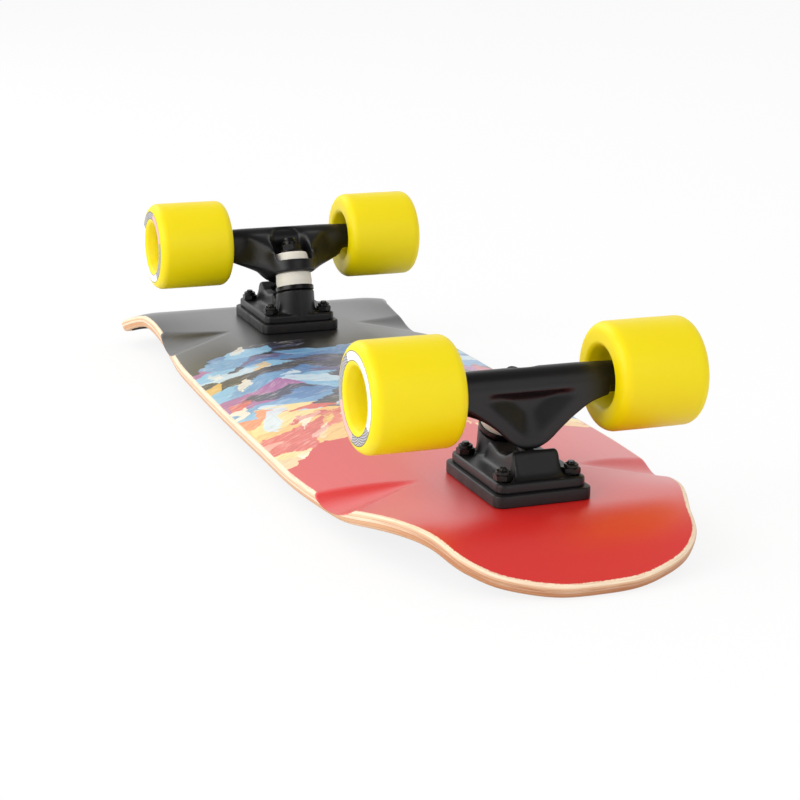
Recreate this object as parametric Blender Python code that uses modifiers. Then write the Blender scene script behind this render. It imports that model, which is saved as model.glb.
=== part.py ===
"""A cruiser skateboard, upside down, resting on its two kicks with the wheels up.

Frame: X runs across the board, Y along it from the narrow end to the wide end, Z up.
Each truck is modelled once, about the middle of its axle, and placed twice.
"""
import math

import bmesh
import bpy
import numpy as np
from mathutils import Matrix, Vector

MM = 0.001
GAP = 0.3 * MM
OVERSHOOT = 1.0 * MM
MERGE_DISTANCE = 0.002 * MM
FLAT_ANGLE = math.radians(0.5)
SMOOTH_ANGLE = math.radians(35.0)
EDGE_ANGLE = math.radians(50.0)

# Wheels and bearings
WHEEL_RADIUS = 31.5 * MM
WHEEL_WIDTH = 55.4 * MM
WHEEL_EDGE_ROUND = 6.2 * MM
WHEEL_EDGE_STEPS = 2
RECESS_MOUTH_RADIUS = 20.9 * MM
RECESS_THROAT_RADIUS = 17.0 * MM
RECESS_THROAT_DEPTH = 3.5 * MM
RECESS_FLOOR_RADIUS = 13.6 * MM
HUB_BORE_RADIUS = 8.5 * MM
BEARING_RADIUS = 11.0 * MM
BEARING_WIDTH = 7.0 * MM
BEARING_CHAMFER = 0.5 * MM
SPACER_LENGTH = 10.0 * MM
SPACER_WALL = 1.4 * MM

# Axle, between the two wheel middles
TRACK = 146.3 * MM
AXLE_RADIUS = 3.95 * MM
AXLE_TIP_REACH = 22.0 * MM
AXLE_TIP_CHAMFER = 0.8 * MM
AXLE_NUT_FLATS = 12.7 * MM
AXLE_NUT_LENGTH = 6.0 * MM
HANGER_STAND_OFF = 1.0 * MM

# Deck
WHEELBASE = 449.5 * MM
DECK_THICKNESS = 8.6 * MM
DECK_EDGE_ROUND = 3.6 * MM
DECK_EDGE_STEPS = 2
DECK_EDGE_ANGLE = math.radians(60.0)
GRIP_THICKNESS = 0.9 * MM
GRIP_INSET = 4.2 * MM
GRIP_GAP = 0.55 * MM
CONCAVE_DEPTH = 8.5 * MM
CONCAVE_FLAT = 45.0 * MM
CONCAVE_HALF_WIDTH = 104.0 * MM
CONCAVE_POWER = 1.5
CONCAVE_FADE_INSIDE_AXLE = 30.0 * MM
NARROW_CONCAVE_END = 33.0 * MM
WIDE_CONCAVE_END = 110.0 * MM
NARROW_KICK_START = 60.0 * MM
NARROW_KICK_BLEND = 25.0 * MM
NARROW_KICK_SLOPE = 0.45
WIDE_KICK_START = 58.6 * MM
WIDE_KICK_BLEND = 18.0 * MM
WIDE_KICK_SLOPE = 0.57
DECK_COLUMNS = 12
DECK_ROWS = 30
ROW_CROWDING = 0.62
OUTLINE_STEPS = 12
# Knots of the right-hand outline as half width and distance beyond the nearer axle, from the
# narrow end's tip to the wide end's; the sides start and end at the corners of the ends.
NARROW_END_KNOTS = [(0.0, 105.5), (38.0, 100.0)]
NARROW_SIDE_KNOTS = [(66.0, 82.0), (78.5, 52.0), (96.5, 4.0), (107.0, -66.0), (108.3, -165.0)]
WIDE_SIDE_KNOTS = [(104.0, -119.5), (95.0, 20.5), (109.0, 66.5)]
WIDE_END_KNOTS = [(92.0, 84.5), (46.0, 93.0), (0.0, 95.0)]

# Wheel wells sanded into the painted face
WELL_POINT = 59.0 * MM
WELL_OFFSET = 34.0 * MM
WELL_EDGE_WIDTH = 46.0 * MM
WELL_DEPTH = 5.0 * MM
WELL_SIDES = 32

# Deck bolts and their lock nuts
BOLT_SPACING_ALONG = 54.0 * MM
BOLT_SPACING_ACROSS = 41.3 * MM
BOLT_RADIUS = 2.4 * MM
BOLT_HEAD_RADIUS = 4.7 * MM
BOLT_HEAD_LENGTH = 2.7 * MM
BOLT_HEAD_RIM = 0.4 * MM
BOLT_TIP_REACH = 2.2 * MM
BOLT_CHAMFER = 0.5 * MM
LOCK_NUT_FLATS = 9.5 * MM
LOCK_NUT_LENGTH = 5.4 * MM
NUT_COLLAR_SHARE = 0.35
NUT_COLLAR_SCALE = 0.86

# Riser pad
PAD_OFFSET = 8.6 * MM
PAD_THICKNESS = 6.8 * MM
PAD_CORNER = 6.0 * MM
PAD_CHAMFER = 0.8 * MM

# Baseplate
FLANGE_INSET = 2.6 * MM
FLANGE_THICKNESS = 5.5 * MM
FLANGE_CHAMFER = 1.2 * MM
AXLE_RISE = 48.6 * MM
SLOT_CLEARANCE = 0.4 * MM
SLOT_TRAVEL = 4.0 * MM
SLOT_END_WALL = 1.4 * MM
SLOT_SIDE_WALL = 2.4 * MM
SPINE_NUT_CLEARANCE = 0.7 * MM
SPINE_CHAMFER = 2.2 * MM
SPINE_TAPER = 0.0224 / MM
SPINE_ROOT = 1.4 * MM
# Side outline of the casting's spine: round the pivot from its outer foot, then down beside the seat
SPINE_OUTER_FOOT = -16.0 * MM
SPINE_AT_PIVOT = [(-7.3, 6.6), (-5.5, 7.2), (4.0, 2.1), (13.5, 1.6)]
SPINE_AT_SEAT = (-10.5, -5.0)
SPINE_INNER_FOOT = -6.0 * MM
BOSS_NUT_CLEARANCE = 1.1 * MM
BOSS_RADIUS = 14.0 * MM
BOSS_SIDES = 24
HEAD_POCKET_CLEARANCE = 1.7 * MM
HEAD_TOP_CLEARANCE = 0.6 * MM

# Kingpin line and the stack on it, measured along the pin from the baseplate's seat
KINGPIN_TILT = math.radians(20.0)
SEAT_OFFSET = 30.0 * MM
SEAT_HEIGHT = -32.0 * MM
KINGPIN_RADIUS = 4.75 * MM
KINGPIN_TIP = 37.6 * MM
KINGPIN_TIP_CHAMFER = 0.9 * MM
KINGPIN_HEAD_RADIUS = 6.3 * MM
KINGPIN_HEAD_START = -15.0 * MM
KINGPIN_HEAD_LENGTH = 4.0 * MM
CUP_WASHER_THICKNESS = 1.6 * MM
CUP_WASHER_LIP = 2.6 * MM
CUP_WASHER_WALL = 1.0 * MM
CUP_WASHER_CLEARANCE = 0.4 * MM
LOWER_BUSHING_LENGTH = 12.0 * MM
LOWER_BUSHING_RADIUS = 12.6 * MM
LOWER_BUSHING_BULGE = 0.9 * MM
RING_THICKNESS = 7.6 * MM
UPPER_BUSHING_LENGTH = 6.6 * MM
UPPER_BUSHING_FOOT = 12.6 * MM
UPPER_BUSHING_TOP = 9.0 * MM
FLAT_WASHER_RADIUS = 9.8 * MM
FLAT_WASHER_THICKNESS = 1.3 * MM
KINGPIN_NUT_FLATS = 14.0 * MM
KINGPIN_NUT_LENGTH = 5.4 * MM
PIN_CLEARANCE = 0.35 * MM

# Hanger
BEAM_RADIUS = 9.6 * MM
BEAM_END_RADIUS = 8.7 * MM
BEAM_STRAIGHT = 34.0 * MM
BEAM_CHAMFER = 0.9 * MM
WEB_FRONT = -9.7 * MM
WEB_BACK = 9.0 * MM
WEB_BACK_RISE = 0.66
WEB_CHAMFER = 1.3 * MM
WEB_EDGE_ANGLE = math.radians(40.0)
# Right half of the web's outline, out from the middle and up from the axle
WEB_OUTLINE = [(0.0, -36.6), (5.0, -35.8), (11.5, -32.8), (27.0, -19.2), (37.0, -11.9), (47.0, -7.6),
               (47.0, 2.0)]
PANEL_HALF_WIDTH = 28.5 * MM
PANEL_TOP = -2.6 * MM
PANEL_BOTTOM = -29.0 * MM
PANEL_CORNER = 3.0 * MM
PANEL_DEPTH = 3.0 * MM
PANEL_FLOOR_SCALE = 0.78
RING_WALL = 3.0 * MM
SHOULDER_RADIUS = 21.0 * MM
SHOULDER_RISE = 16.0 * MM
RING_BORE_RADIUS = 6.2 * MM
POCKET_SIDE_CLEARANCE = 2.2 * MM
POCKET_BACK_CLEARANCE = 0.5 * MM
POCKET_FRONT = 24.0 * MM
POCKET_CORNER = 6.0 * MM
SHOULDER_LIP = 0.8 * MM

# Pivot of the hanger in the baseplate
PIVOT_OFFSET = -8.5 * MM
PIVOT_HEIGHT = -41.8 * MM
PIVOT_PIN_RADIUS = 4.1 * MM
PIVOT_NECK_RADIUS = 6.6 * MM
PIVOT_SOCKET_END = 13.0 * MM
PIVOT_ROOT = 20.0 * MM
PIVOT_CUP_WALL = 1.6 * MM
PIVOT_CUP_MOUTH = 3.0 * MM
PIVOT_CUP_END_TURN = -80.0
PIVOT_CHANNEL_RADIUS = 7.5 * MM

# Steps of round shapes
CORNER_STEPS = 3
ROUND_STEPS = 12
FINE_STEPS = 20
WHEEL_STEPS = 32
QUARTER_TURN = 90.0

# Plan sizes of the flange around its slots, and of the pad around the flange
SLOT_RADIUS = BOLT_RADIUS + SLOT_CLEARANCE
FLANGE_LENGTH = BOLT_SPACING_ALONG + 2 * (SLOT_TRAVEL + SLOT_RADIUS + SLOT_END_WALL)
FLANGE_WIDTH = BOLT_SPACING_ACROSS + 2 * (SLOT_RADIUS + SLOT_SIDE_WALL)
PAD_LENGTH = FLANGE_LENGTH + 2 * FLANGE_INSET
PAD_WIDTH = FLANGE_WIDTH + 2 * FLANGE_INSET

# Sizes that follow from the pieces they hold
NUT_CORNER_RADIUS = LOCK_NUT_FLATS / math.sqrt(3.0)
BOSS_TO_BOLT = math.hypot(BOLT_SPACING_ACROSS / 2, PAD_OFFSET + BOLT_SPACING_ALONG / 2 - SEAT_OFFSET)
BOSS_FOOT_RADIUS = BOSS_TO_BOLT - NUT_CORNER_RADIUS - BOSS_NUT_CLEARANCE
SPINE_HALF_WIDTH = BOLT_SPACING_ACROSS / 2 - NUT_CORNER_RADIUS - SPINE_NUT_CLEARANCE
KINGPIN_HEAD_TOP = KINGPIN_HEAD_START + KINGPIN_HEAD_LENGTH
HEAD_POCKET_RADIUS = KINGPIN_HEAD_RADIUS + HEAD_POCKET_CLEARANCE
HEAD_POCKET_OFFSET = SEAT_OFFSET - math.sin(KINGPIN_TILT) * (KINGPIN_HEAD_START + KINGPIN_HEAD_TOP) / 2
HEAD_POCKET_TOP = (SEAT_HEIGHT + math.cos(KINGPIN_TILT) * KINGPIN_HEAD_TOP
                   + math.sin(KINGPIN_TILT) * KINGPIN_HEAD_RADIUS + HEAD_TOP_CLEARANCE)
CUP_WASHER_RADIUS = LOWER_BUSHING_RADIUS + CUP_WASHER_CLEARANCE + CUP_WASHER_WALL
RING_RADIUS = UPPER_BUSHING_FOOT + RING_WALL
POCKET_HALF_WIDTH = UPPER_BUSHING_FOOT + POCKET_SIDE_CLEARANCE
POCKET_BACK = -UPPER_BUSHING_FOOT - POCKET_BACK_CLEARANCE

# Heights derived from the sizes above, up from the axle
AXLE_HEIGHT = AXLE_RISE + FLANGE_THICKNESS + GAP + PAD_THICKNESS + GAP
PAINT_Z = -AXLE_HEIGHT
PAD_BOTTOM_Z = PAINT_Z + GAP
PAD_TOP_Z = PAD_BOTTOM_Z + PAD_THICKNESS
FLANGE_BOTTOM_Z = PAD_TOP_Z + GAP
FLANGE_TOP_Z = FLANGE_BOTTOM_Z + FLANGE_THICKNESS
GRIP_TOP_Z = PAINT_Z - DECK_THICKNESS - GRIP_GAP
GRIP_BOTTOM_Z = GRIP_TOP_Z - GRIP_THICKNESS
LOCK_NUT_BOTTOM_Z = FLANGE_TOP_Z + GAP
BOARD_MIDDLE = (WHEELBASE + (WIDE_END_KNOTS[-1][1] - NARROW_END_KNOTS[0][1]) * MM) / 2
NARROW_AXLE_Y = -BOARD_MIDDLE
WIDE_AXLE_Y = WHEELBASE - BOARD_MIDDLE

# Lines of the truck: the kingpin, and the steering axis from the pivot to the ring's middle
SEAT = Vector((0.0, SEAT_OFFSET, SEAT_HEIGHT))
KINGPIN_DIR = Vector((0.0, -math.sin(KINGPIN_TILT), math.cos(KINGPIN_TILT)))
CUP_BOTTOM_S = GAP
LOWER_BUSHING_S = CUP_BOTTOM_S + CUP_WASHER_THICKNESS + GAP
RING_S = LOWER_BUSHING_S + LOWER_BUSHING_LENGTH + GAP
UPPER_BUSHING_S = RING_S + RING_THICKNESS + GAP
FLAT_WASHER_S = UPPER_BUSHING_S + UPPER_BUSHING_LENGTH + GAP
KINGPIN_NUT_S = FLAT_WASHER_S + FLAT_WASHER_THICKNESS + GAP
RING_MIDDLE = SEAT + KINGPIN_DIR * (RING_S + RING_THICKNESS / 2)
PIVOT = Vector((0.0, PIVOT_OFFSET, PIVOT_HEIGHT))
STEER_DIR = (RING_MIDDLE - PIVOT).normalized()

# Turns for outlines drawn flat: seen from the truck's end, from its side, and turned about X
END_ON = Matrix.Rotation(math.pi / 2, 4, "X")
SIDE_ON = Matrix.Rotation(math.pi / 2, 4, "Z") @ END_ON
ACROSS = Matrix.Rotation(math.pi / 2, 4, "Y")

FINISHES = {
    "painted_wood": ((0.72, 0.10, 0.08), 0.38, 0.0),
    "grip": ((0.03, 0.03, 0.03), 0.95, 0.0),
    "rubber": ((0.035, 0.035, 0.04), 0.7, 0.0),
    "cast_black": ((0.03, 0.03, 0.035), 0.45, 0.3),
    "steel_black": ((0.02, 0.02, 0.022), 0.4, 0.6),
    "steel": ((0.55, 0.55, 0.56), 0.3, 1.0),
    "urethane_yellow": ((0.95, 0.83, 0.02), 0.4, 0.0),
    "urethane_cream": ((0.85, 0.80, 0.72), 0.5, 0.0),
}


def clear_scene():
    """Remove whatever is in the scene."""
    for old in list(bpy.data.objects):
        bpy.data.objects.remove(old, do_unlink=True)


def new_collection(name):
    """Make a collection in the scene."""
    collection = bpy.data.collections.new(name)
    bpy.context.scene.collection.children.link(collection)
    return collection


def add_object(name, mesh, collection):
    """Wrap a mesh in an object."""
    obj = bpy.data.objects.new(name, mesh)
    collection.objects.link(obj)
    return obj


def evaluated_mesh(obj):
    """Return the mesh that an object shows once its modifiers are applied."""
    graph = bpy.context.evaluated_depsgraph_get()
    return bpy.data.meshes.new_from_object(obj.evaluated_get(graph))


def settle(obj):
    """Swap an object's mesh for its evaluated one and drop the modifiers."""
    mesh = evaluated_mesh(obj)
    obj.modifiers.clear()
    obj.data = mesh
    return obj


def bevel(obj, width, steps=1, angle=EDGE_ANGLE):
    """Chamfer or round the sharp edges of an object."""
    modifier = obj.modifiers.new("Bevel", "BEVEL")
    modifier.width = width
    modifier.segments = steps
    modifier.limit_method = "ANGLE"
    modifier.angle_limit = angle
    return settle(obj)


def combine(target, others, operation):
    """Join solids to a target or cut them from it, and remove them."""
    for other in others:
        modifier = target.modifiers.new("Boolean", "BOOLEAN")
        modifier.operation = operation
        modifier.solver = "EXACT"
        modifier.object = other
        settle(target)
        bpy.data.objects.remove(other, do_unlink=True)
    return target


def frame_along(origin, direction):
    """Matrix that carries +Z onto a direction in the YZ plane or along X, from an origin."""
    turn = Vector((0.0, 0.0, 1.0)).rotation_difference(direction).to_matrix().to_4x4()
    return Matrix.Translation(origin) @ turn


def transformed(obj, matrix):
    """Move a mesh's vertices by a matrix."""
    obj.data.transform(matrix)
    return obj


def cone(name, low_radius, high_radius, low, high, matrix=Matrix(), sides=FINE_STEPS):
    """A capped cone or cylinder about +Z between two heights."""
    shape = bmesh.new()
    middle = Matrix.Translation((0.0, 0.0, (low + high) / 2))
    bmesh.ops.create_cone(shape, cap_ends=True, segments=sides, radius1=low_radius,
                          radius2=high_radius, depth=high - low, matrix=middle)
    mesh = bpy.data.meshes.new(name)
    shape.to_mesh(mesh)
    shape.free()
    return transformed(add_object(name, mesh, WORKSHOP), matrix)


def box(name, low, high, matrix=Matrix()):
    """A box between two corners."""
    shape = bmesh.new()
    size = Vector(high) - Vector(low)
    middle = (Vector(high) + Vector(low)) / 2
    stretch = Matrix.Translation(middle) @ Matrix.Diagonal(size.to_4d())
    bmesh.ops.create_cube(shape, size=1.0, matrix=stretch)
    mesh = bpy.data.meshes.new(name)
    shape.to_mesh(mesh)
    shape.free()
    return transformed(add_object(name, mesh, WORKSHOP), matrix)


def turned(name, profile, steps, matrix=Matrix(), closed=True):
    """Turn a radius-height profile about +Z; it runs down its outer side, and ends on the axis if open."""
    mesh = bpy.data.meshes.new(name)
    count = len(profile)
    edges = [(index, (index + 1) % count) for index in range(count if closed else count - 1)]
    mesh.from_pydata([(radius, 0.0, height) for radius, height in profile], edges, [])
    obj = add_object(name, mesh, WORKSHOP)
    modifier = obj.modifiers.new("Screw", "SCREW")
    modifier.axis = "Z"
    modifier.steps = steps
    modifier.render_steps = steps
    modifier.use_merge_vertices = True
    modifier.merge_threshold = MERGE_DISTANCE
    settle(obj)
    return transformed(obj, matrix)


def flat_outline(name, points, low, high, matrix=Matrix()):
    """Extrude a flat outline between two heights along +Z."""
    curve = bpy.data.curves.new(name, "CURVE")
    curve.dimensions = "2D"
    curve.fill_mode = "BOTH"
    curve.extrude = (high - low) / 2
    spline = curve.splines.new("POLY")
    spline.points.add(len(points) - 1)
    for slot, (across, along) in zip(spline.points, points):
        slot.co = (across, along, 0.0, 1.0)
    spline.use_cyclic_u = True
    drawn = add_object(name, curve, WORKSHOP)
    mesh = evaluated_mesh(drawn)
    bpy.data.objects.remove(drawn, do_unlink=True)
    shape = bmesh.new()
    shape.from_mesh(mesh)
    bmesh.ops.remove_doubles(shape, verts=shape.verts, dist=MERGE_DISTANCE)
    bmesh.ops.dissolve_limit(shape, angle_limit=FLAT_ANGLE, verts=shape.verts, edges=shape.edges)
    bmesh.ops.recalc_face_normals(shape, faces=shape.faces)
    shape.to_mesh(mesh)
    shape.free()
    lift = Matrix.Translation((0.0, 0.0, (low + high) / 2))
    return transformed(add_object(name, mesh, WORKSHOP), matrix @ lift)


def arc(centre, radius, start, end, steps):
    """Points along an arc, both ends included, angles in degrees."""
    angles = [math.radians(start + (end - start) * step / steps) for step in range(steps + 1)]
    return [(centre[0] + radius * math.cos(turn), centre[1] + radius * math.sin(turn)) for turn in angles]


def rounded_rectangle(width, length, corner):
    """Outline of a rectangle with round corners, about the origin."""
    half_x = width / 2 - corner
    half_y = length / 2 - corner
    centres = [(half_x, half_y), (-half_x, half_y), (-half_x, -half_y), (half_x, -half_y)]
    points = []
    for quarter, centre in enumerate(centres):
        start = QUARTER_TURN * quarter
        points += arc(centre, corner, start, start + QUARTER_TURN, CORNER_STEPS)
    return points


def rounded_polygon(corners, radius, steps):
    """Outline of a convex polygon with arcs at its corners, given anticlockwise."""
    points = []
    count = len(corners)
    for index in range(count):
        before = Vector(corners[index - 1])
        here = Vector(corners[index])
        after = Vector(corners[(index + 1) % count])
        into = (here - before).normalized()
        out = (after - here).normalized()
        bend = math.acos(max(-1.0, min(1.0, into.dot(out))))
        reach = radius * math.tan(bend / 2)
        centre = here - into * reach + Vector((-into.y, into.x)) * radius
        start = math.degrees(math.atan2(-into.x, into.y))
        points += arc(centre, radius, start, start + math.degrees(bend), steps)
    return points


def hex_prism(name, flats, low, high, matrix=Matrix()):
    """A hexagonal bar about +Z with a pair of flats facing Y."""
    return cone(name, flats / math.sqrt(3.0), flats / math.sqrt(3.0), low, high, matrix, 6)


def lock_nut(name, flats, length, bore, matrix=Matrix()):
    """A hexagonal nut with a round collar at its top, bored through."""
    shoulder = length * (1.0 - NUT_COLLAR_SHARE)
    collar_radius = flats / 2 * NUT_COLLAR_SCALE
    nut = hex_prism(name, flats, 0.0, shoulder)
    collar = cone("collar", collar_radius, collar_radius, shoulder / 2, length, sides=ROUND_STEPS)
    combine(nut, [collar], "UNION")
    hole = cone("bore", bore, bore, -OVERSHOOT, length + OVERSHOOT, sides=ROUND_STEPS)
    combine(nut, [hole], "DIFFERENCE")
    return transformed(nut, matrix)


def smooth_step(value):
    """Ease from 0 to 1."""
    held = np.clip(value, 0.0, 1.0)
    return held * held * (3.0 - 2.0 * held)


def kick_drop(past, blend, slope):
    """How far an end drops at a distance past the middle of its bend."""
    bent = (past + blend) ** 2 / (4.0 * blend)
    return slope * np.where(past < -blend, 0.0, np.where(past < blend, bent, past))


def face_height(across, along):
    """Height of the painted face above its flat middle; along counts from the narrow axle."""
    narrow = -along
    wide = along - WHEELBASE
    fade = smooth_step((NARROW_CONCAVE_END - narrow) / (NARROW_CONCAVE_END + CONCAVE_FADE_INSIDE_AXLE))
    fade = fade * smooth_step((WIDE_CONCAVE_END - wide) / (WIDE_CONCAVE_END + CONCAVE_FADE_INSIDE_AXLE))
    rail = np.clip(np.abs(across) - CONCAVE_FLAT, 0.0, None) / (CONCAVE_HALF_WIDTH - CONCAVE_FLAT)
    kicks = kick_drop(narrow - NARROW_KICK_START, NARROW_KICK_BLEND, NARROW_KICK_SLOPE)
    kicks += kick_drop(wide - WIDE_KICK_START, WIDE_KICK_BLEND, WIDE_KICK_SLOPE)
    return -CONCAVE_DEPTH * fade * rail ** CONCAVE_POWER - kicks


def deck_outline():
    """Right half of the outline as a smooth curve through the knots, tip to tip."""
    curve = bpy.data.curves.new("outline", "CURVE")
    curve.dimensions = "2D"
    curve.resolution_u = OUTLINE_STEPS
    right = [(across * MM, -beyond * MM) for across, beyond in NARROW_END_KNOTS + NARROW_SIDE_KNOTS]
    right += [(across * MM, WHEELBASE + beyond * MM) for across, beyond in WIDE_SIDE_KNOTS + WIDE_END_KNOTS]
    left = [(-across, along) for across, along in right[-2:0:-1]]
    spline = curve.splines.new("BEZIER")
    spline.bezier_points.add(len(right + left) - 1)
    for slot, (across, along) in zip(spline.bezier_points, right + left):
        slot.co = (across, along, 0.0)
        slot.handle_left_type = "AUTO"
        slot.handle_right_type = "AUTO"
    spline.use_cyclic_u = True
    drawn = add_object("outline", curve, WORKSHOP)
    mesh = evaluated_mesh(drawn)
    points = np.array([vertex.co[:2] for vertex in mesh.vertices])
    bpy.data.objects.remove(drawn, do_unlink=True)
    return points[:OUTLINE_STEPS * (len(right) - 1) + 1]


def inset_outline(points, inset):
    """Move an open half outline inward, keeping its ends on the middle line."""
    tangent = np.gradient(points, axis=0)
    tangent /= np.linalg.norm(tangent, axis=1)[:, None]
    moved = points + inset * np.stack([-tangent[:, 1], tangent[:, 0]], axis=1)
    moved[[0, -1], 0] = 0.0
    return moved


def resample(points, shares):
    """Points at given shares of a line's length."""
    steps = np.linalg.norm(np.diff(points, axis=0), axis=1)
    walked = np.concatenate([[0.0], np.cumsum(steps)]) / steps.sum()
    return np.stack([np.interp(shares, walked, points[:, axis]) for axis in (0, 1)], axis=1)


def deck_grid(inset):
    """Plan positions of the deck's grid: rows run across, from the narrow end."""
    half = inset_outline(deck_outline(), inset)
    low = len(NARROW_END_KNOTS) * OUTLINE_STEPS
    high = low + (len(NARROW_SIDE_KNOTS + WIDE_SIDE_KNOTS) - 1) * OUTLINE_STEPS
    mirror = np.array([-1.0, 1.0])
    narrow_end = np.concatenate([(half[:low + 1] * mirror)[::-1], half[1:low + 1]])
    wide_end = np.concatenate([(half[high:] * mirror), half[high:-1][::-1]])
    columns = np.linspace(0.0, 1.0, DECK_COLUMNS + 1)
    rows = np.linspace(0.0, 1.0, DECK_ROWS + 1)
    rows = rows - ROW_CROWDING * np.sin(2.0 * math.pi * rows) / (2.0 * math.pi)
    bottom = resample(narrow_end, columns)[None, :, :]
    top = resample(wide_end, columns)[None, :, :]
    right = resample(half[low:high + 1], rows)[:, None, :]
    left = right * mirror
    across = columns[None, :, None]
    along = rows[:, None, None]
    corners = ((1 - across) * (1 - along) * left[0] + across * (1 - along) * right[0]
               + (1 - across) * along * left[-1] + across * along * right[-1])
    return (1 - along) * bottom + along * top + (1 - across) * left + across * right - corners


def deck_shell(name, low, high):
    """The deck's form between two depths below its painted face."""
    plan = deck_grid(0.0).reshape(-1, 2)
    surface = np.column_stack([plan[:, 0], plan[:, 1] - BOARD_MIDDLE, face_height(plan[:, 0], plan[:, 1])])
    shape = bmesh.new()
    bmesh.ops.create_grid(shape, x_segments=DECK_COLUMNS, y_segments=DECK_ROWS, size=0.5)
    for vertex in shape.verts:
        column = round((vertex.co.x + 0.5) * DECK_COLUMNS)
        row = round((vertex.co.y + 0.5) * DECK_ROWS)
        vertex.co = surface[row * (DECK_COLUMNS + 1) + column]
    bmesh.ops.triangulate(shape, faces=shape.faces)
    mesh = bpy.data.meshes.new(name)
    shape.to_mesh(mesh)
    shape.free()
    shell = add_object(name, mesh, WORKSHOP)
    modifier = shell.modifiers.new("Solidify", "SOLIDIFY")
    modifier.thickness = low - high
    modifier.offset = -1.0 - 2.0 * high / (low - high)
    modifier.use_even_offset = True
    return settle(shell)


def truck_frames():
    """The two trucks' frames in the board's frame, narrow end first."""
    narrow = Matrix.Translation((0.0, NARROW_AXLE_Y, AXLE_HEIGHT))
    wide = Matrix.Translation((0.0, WIDE_AXLE_Y, AXLE_HEIGHT)) @ Matrix.Rotation(math.pi, 4, "Z")
    return {"near": narrow, "far": wide}


def bolt_places():
    """Middles of the four deck bolts in the truck's frame, by name."""
    places = {}
    for side, across in (("left", -1), ("right", 1)):
        for end, along in (("outer", -1), ("inner", 1)):
            spot = (across * BOLT_SPACING_ACROSS / 2, PAD_OFFSET + along * BOLT_SPACING_ALONG / 2)
            places[end + "_" + side] = (spot, along)
    return places


def build_deck():
    """The deck with its four wheel wells and eight bolt holes."""
    deck = deck_shell("deck", DECK_THICKNESS, 0.0)
    bevel(deck, DECK_EDGE_ROUND, DECK_EDGE_STEPS, DECK_EDGE_ANGLE)
    cutters = []
    for frame in truck_frames().values():
        for side in (-1, 1):
            cutters.append(well_cutter(frame, side))
        for (across, along), _ in bolt_places().values():
            spot = frame @ Matrix.Translation((across, along, 0.0))
            hole = BOLT_RADIUS + GAP
            wide = BOLT_HEAD_RADIUS + GAP
            low = PAINT_Z - DECK_THICKNESS
            high = PAINT_Z + OVERSHOOT
            sink = low + BOLT_HEAD_LENGTH
            cutters.append(cone("hole", hole, hole, low - OVERSHOOT, high, spot, ROUND_STEPS))
            cutters.append(cone("sink", wide, hole, low - GAP, sink, spot, ROUND_STEPS))
    return combine(deck, cutters, "DIFFERENCE")


def well_cutter(frame, side):
    """Cone that sands one wheel well: its point is on the flat, its lower side leaves at the edge."""
    run = CONCAVE_HALF_WIDTH - WELL_POINT
    dip = math.atan2(WELL_DEPTH + CONCAVE_DEPTH, run)
    corner = Vector((run, WELL_EDGE_WIDTH / 2, -CONCAVE_DEPTH)).normalized()
    lift = math.atan2(math.cos(dip) - corner.x, math.sin(dip) + corner.z)
    tip = Vector((side * WELL_POINT, WELL_OFFSET, PAINT_Z))
    axis = Vector((side * math.cos(lift), 0.0, math.sin(lift)))
    wide = run * math.tan(lift + dip)
    return cone("well", 0.0, wide, 0.0, run, frame @ frame_along(tip, axis), WELL_SIDES)


def build_grip():
    """The grip sheet on the deck's other face, pierced for the bolt heads."""
    high = DECK_THICKNESS + GRIP_GAP
    grip = deck_shell("grip", high + GRIP_THICKNESS, high)
    plan = deck_grid(GRIP_INSET)
    rim = np.concatenate([plan[0, :-1], plan[:-1, -1], plan[-1, :0:-1], plan[:0:-1, 0]])
    reach = AXLE_HEIGHT
    keep = flat_outline("rim", rim, -reach, reach, Matrix.Translation((0.0, -BOARD_MIDDLE, 0.0)))
    combine(grip, [keep], "INTERSECT")
    cutters = []
    for frame in truck_frames().values():
        for (across, along), _ in bolt_places().values():
            spot = frame @ Matrix.Translation((across, along, 0.0))
            hole = BOLT_HEAD_RADIUS + GAP
            low = GRIP_BOTTOM_Z - OVERSHOOT
            cutters.append(cone("pierce", hole, hole, low, GRIP_TOP_Z + OVERSHOOT, spot, ROUND_STEPS))
    return combine(grip, cutters, "DIFFERENCE")


def build_riser():
    """The rubber pad under the baseplate."""
    outline = rounded_rectangle(PAD_WIDTH, PAD_LENGTH, PAD_CORNER)
    place = Matrix.Translation((0.0, PAD_OFFSET, 0.0))
    pad = flat_outline("riser", outline, PAD_BOTTOM_Z, PAD_TOP_Z, place)
    bevel(pad, PAD_CHAMFER)
    return combine(pad, bolt_hole_cutters(0.0), "DIFFERENCE")


def bolt_hole_cutters(travel):
    """Four round or slotted holes through the pad or the flange, slots running outward."""
    cutters = []
    for (across, along), outward in bolt_places().values():
        radius = SLOT_RADIUS
        near = arc((across, along), radius, 180.0, 360.0, ROUND_STEPS // 2)
        far = arc((across, along + travel), radius, 0.0, 180.0, ROUND_STEPS // 2)
        if outward < 0:
            near = arc((across, along - travel), radius, 180.0, 360.0, ROUND_STEPS // 2)
            far = arc((across, along), radius, 0.0, 180.0, ROUND_STEPS // 2)
        points = near + far if travel else near + far[1:-1]
        cutters.append(flat_outline("slot", points, PAD_BOTTOM_Z - OVERSHOOT, FLANGE_TOP_Z + OVERSHOOT))
    return cutters


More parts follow.
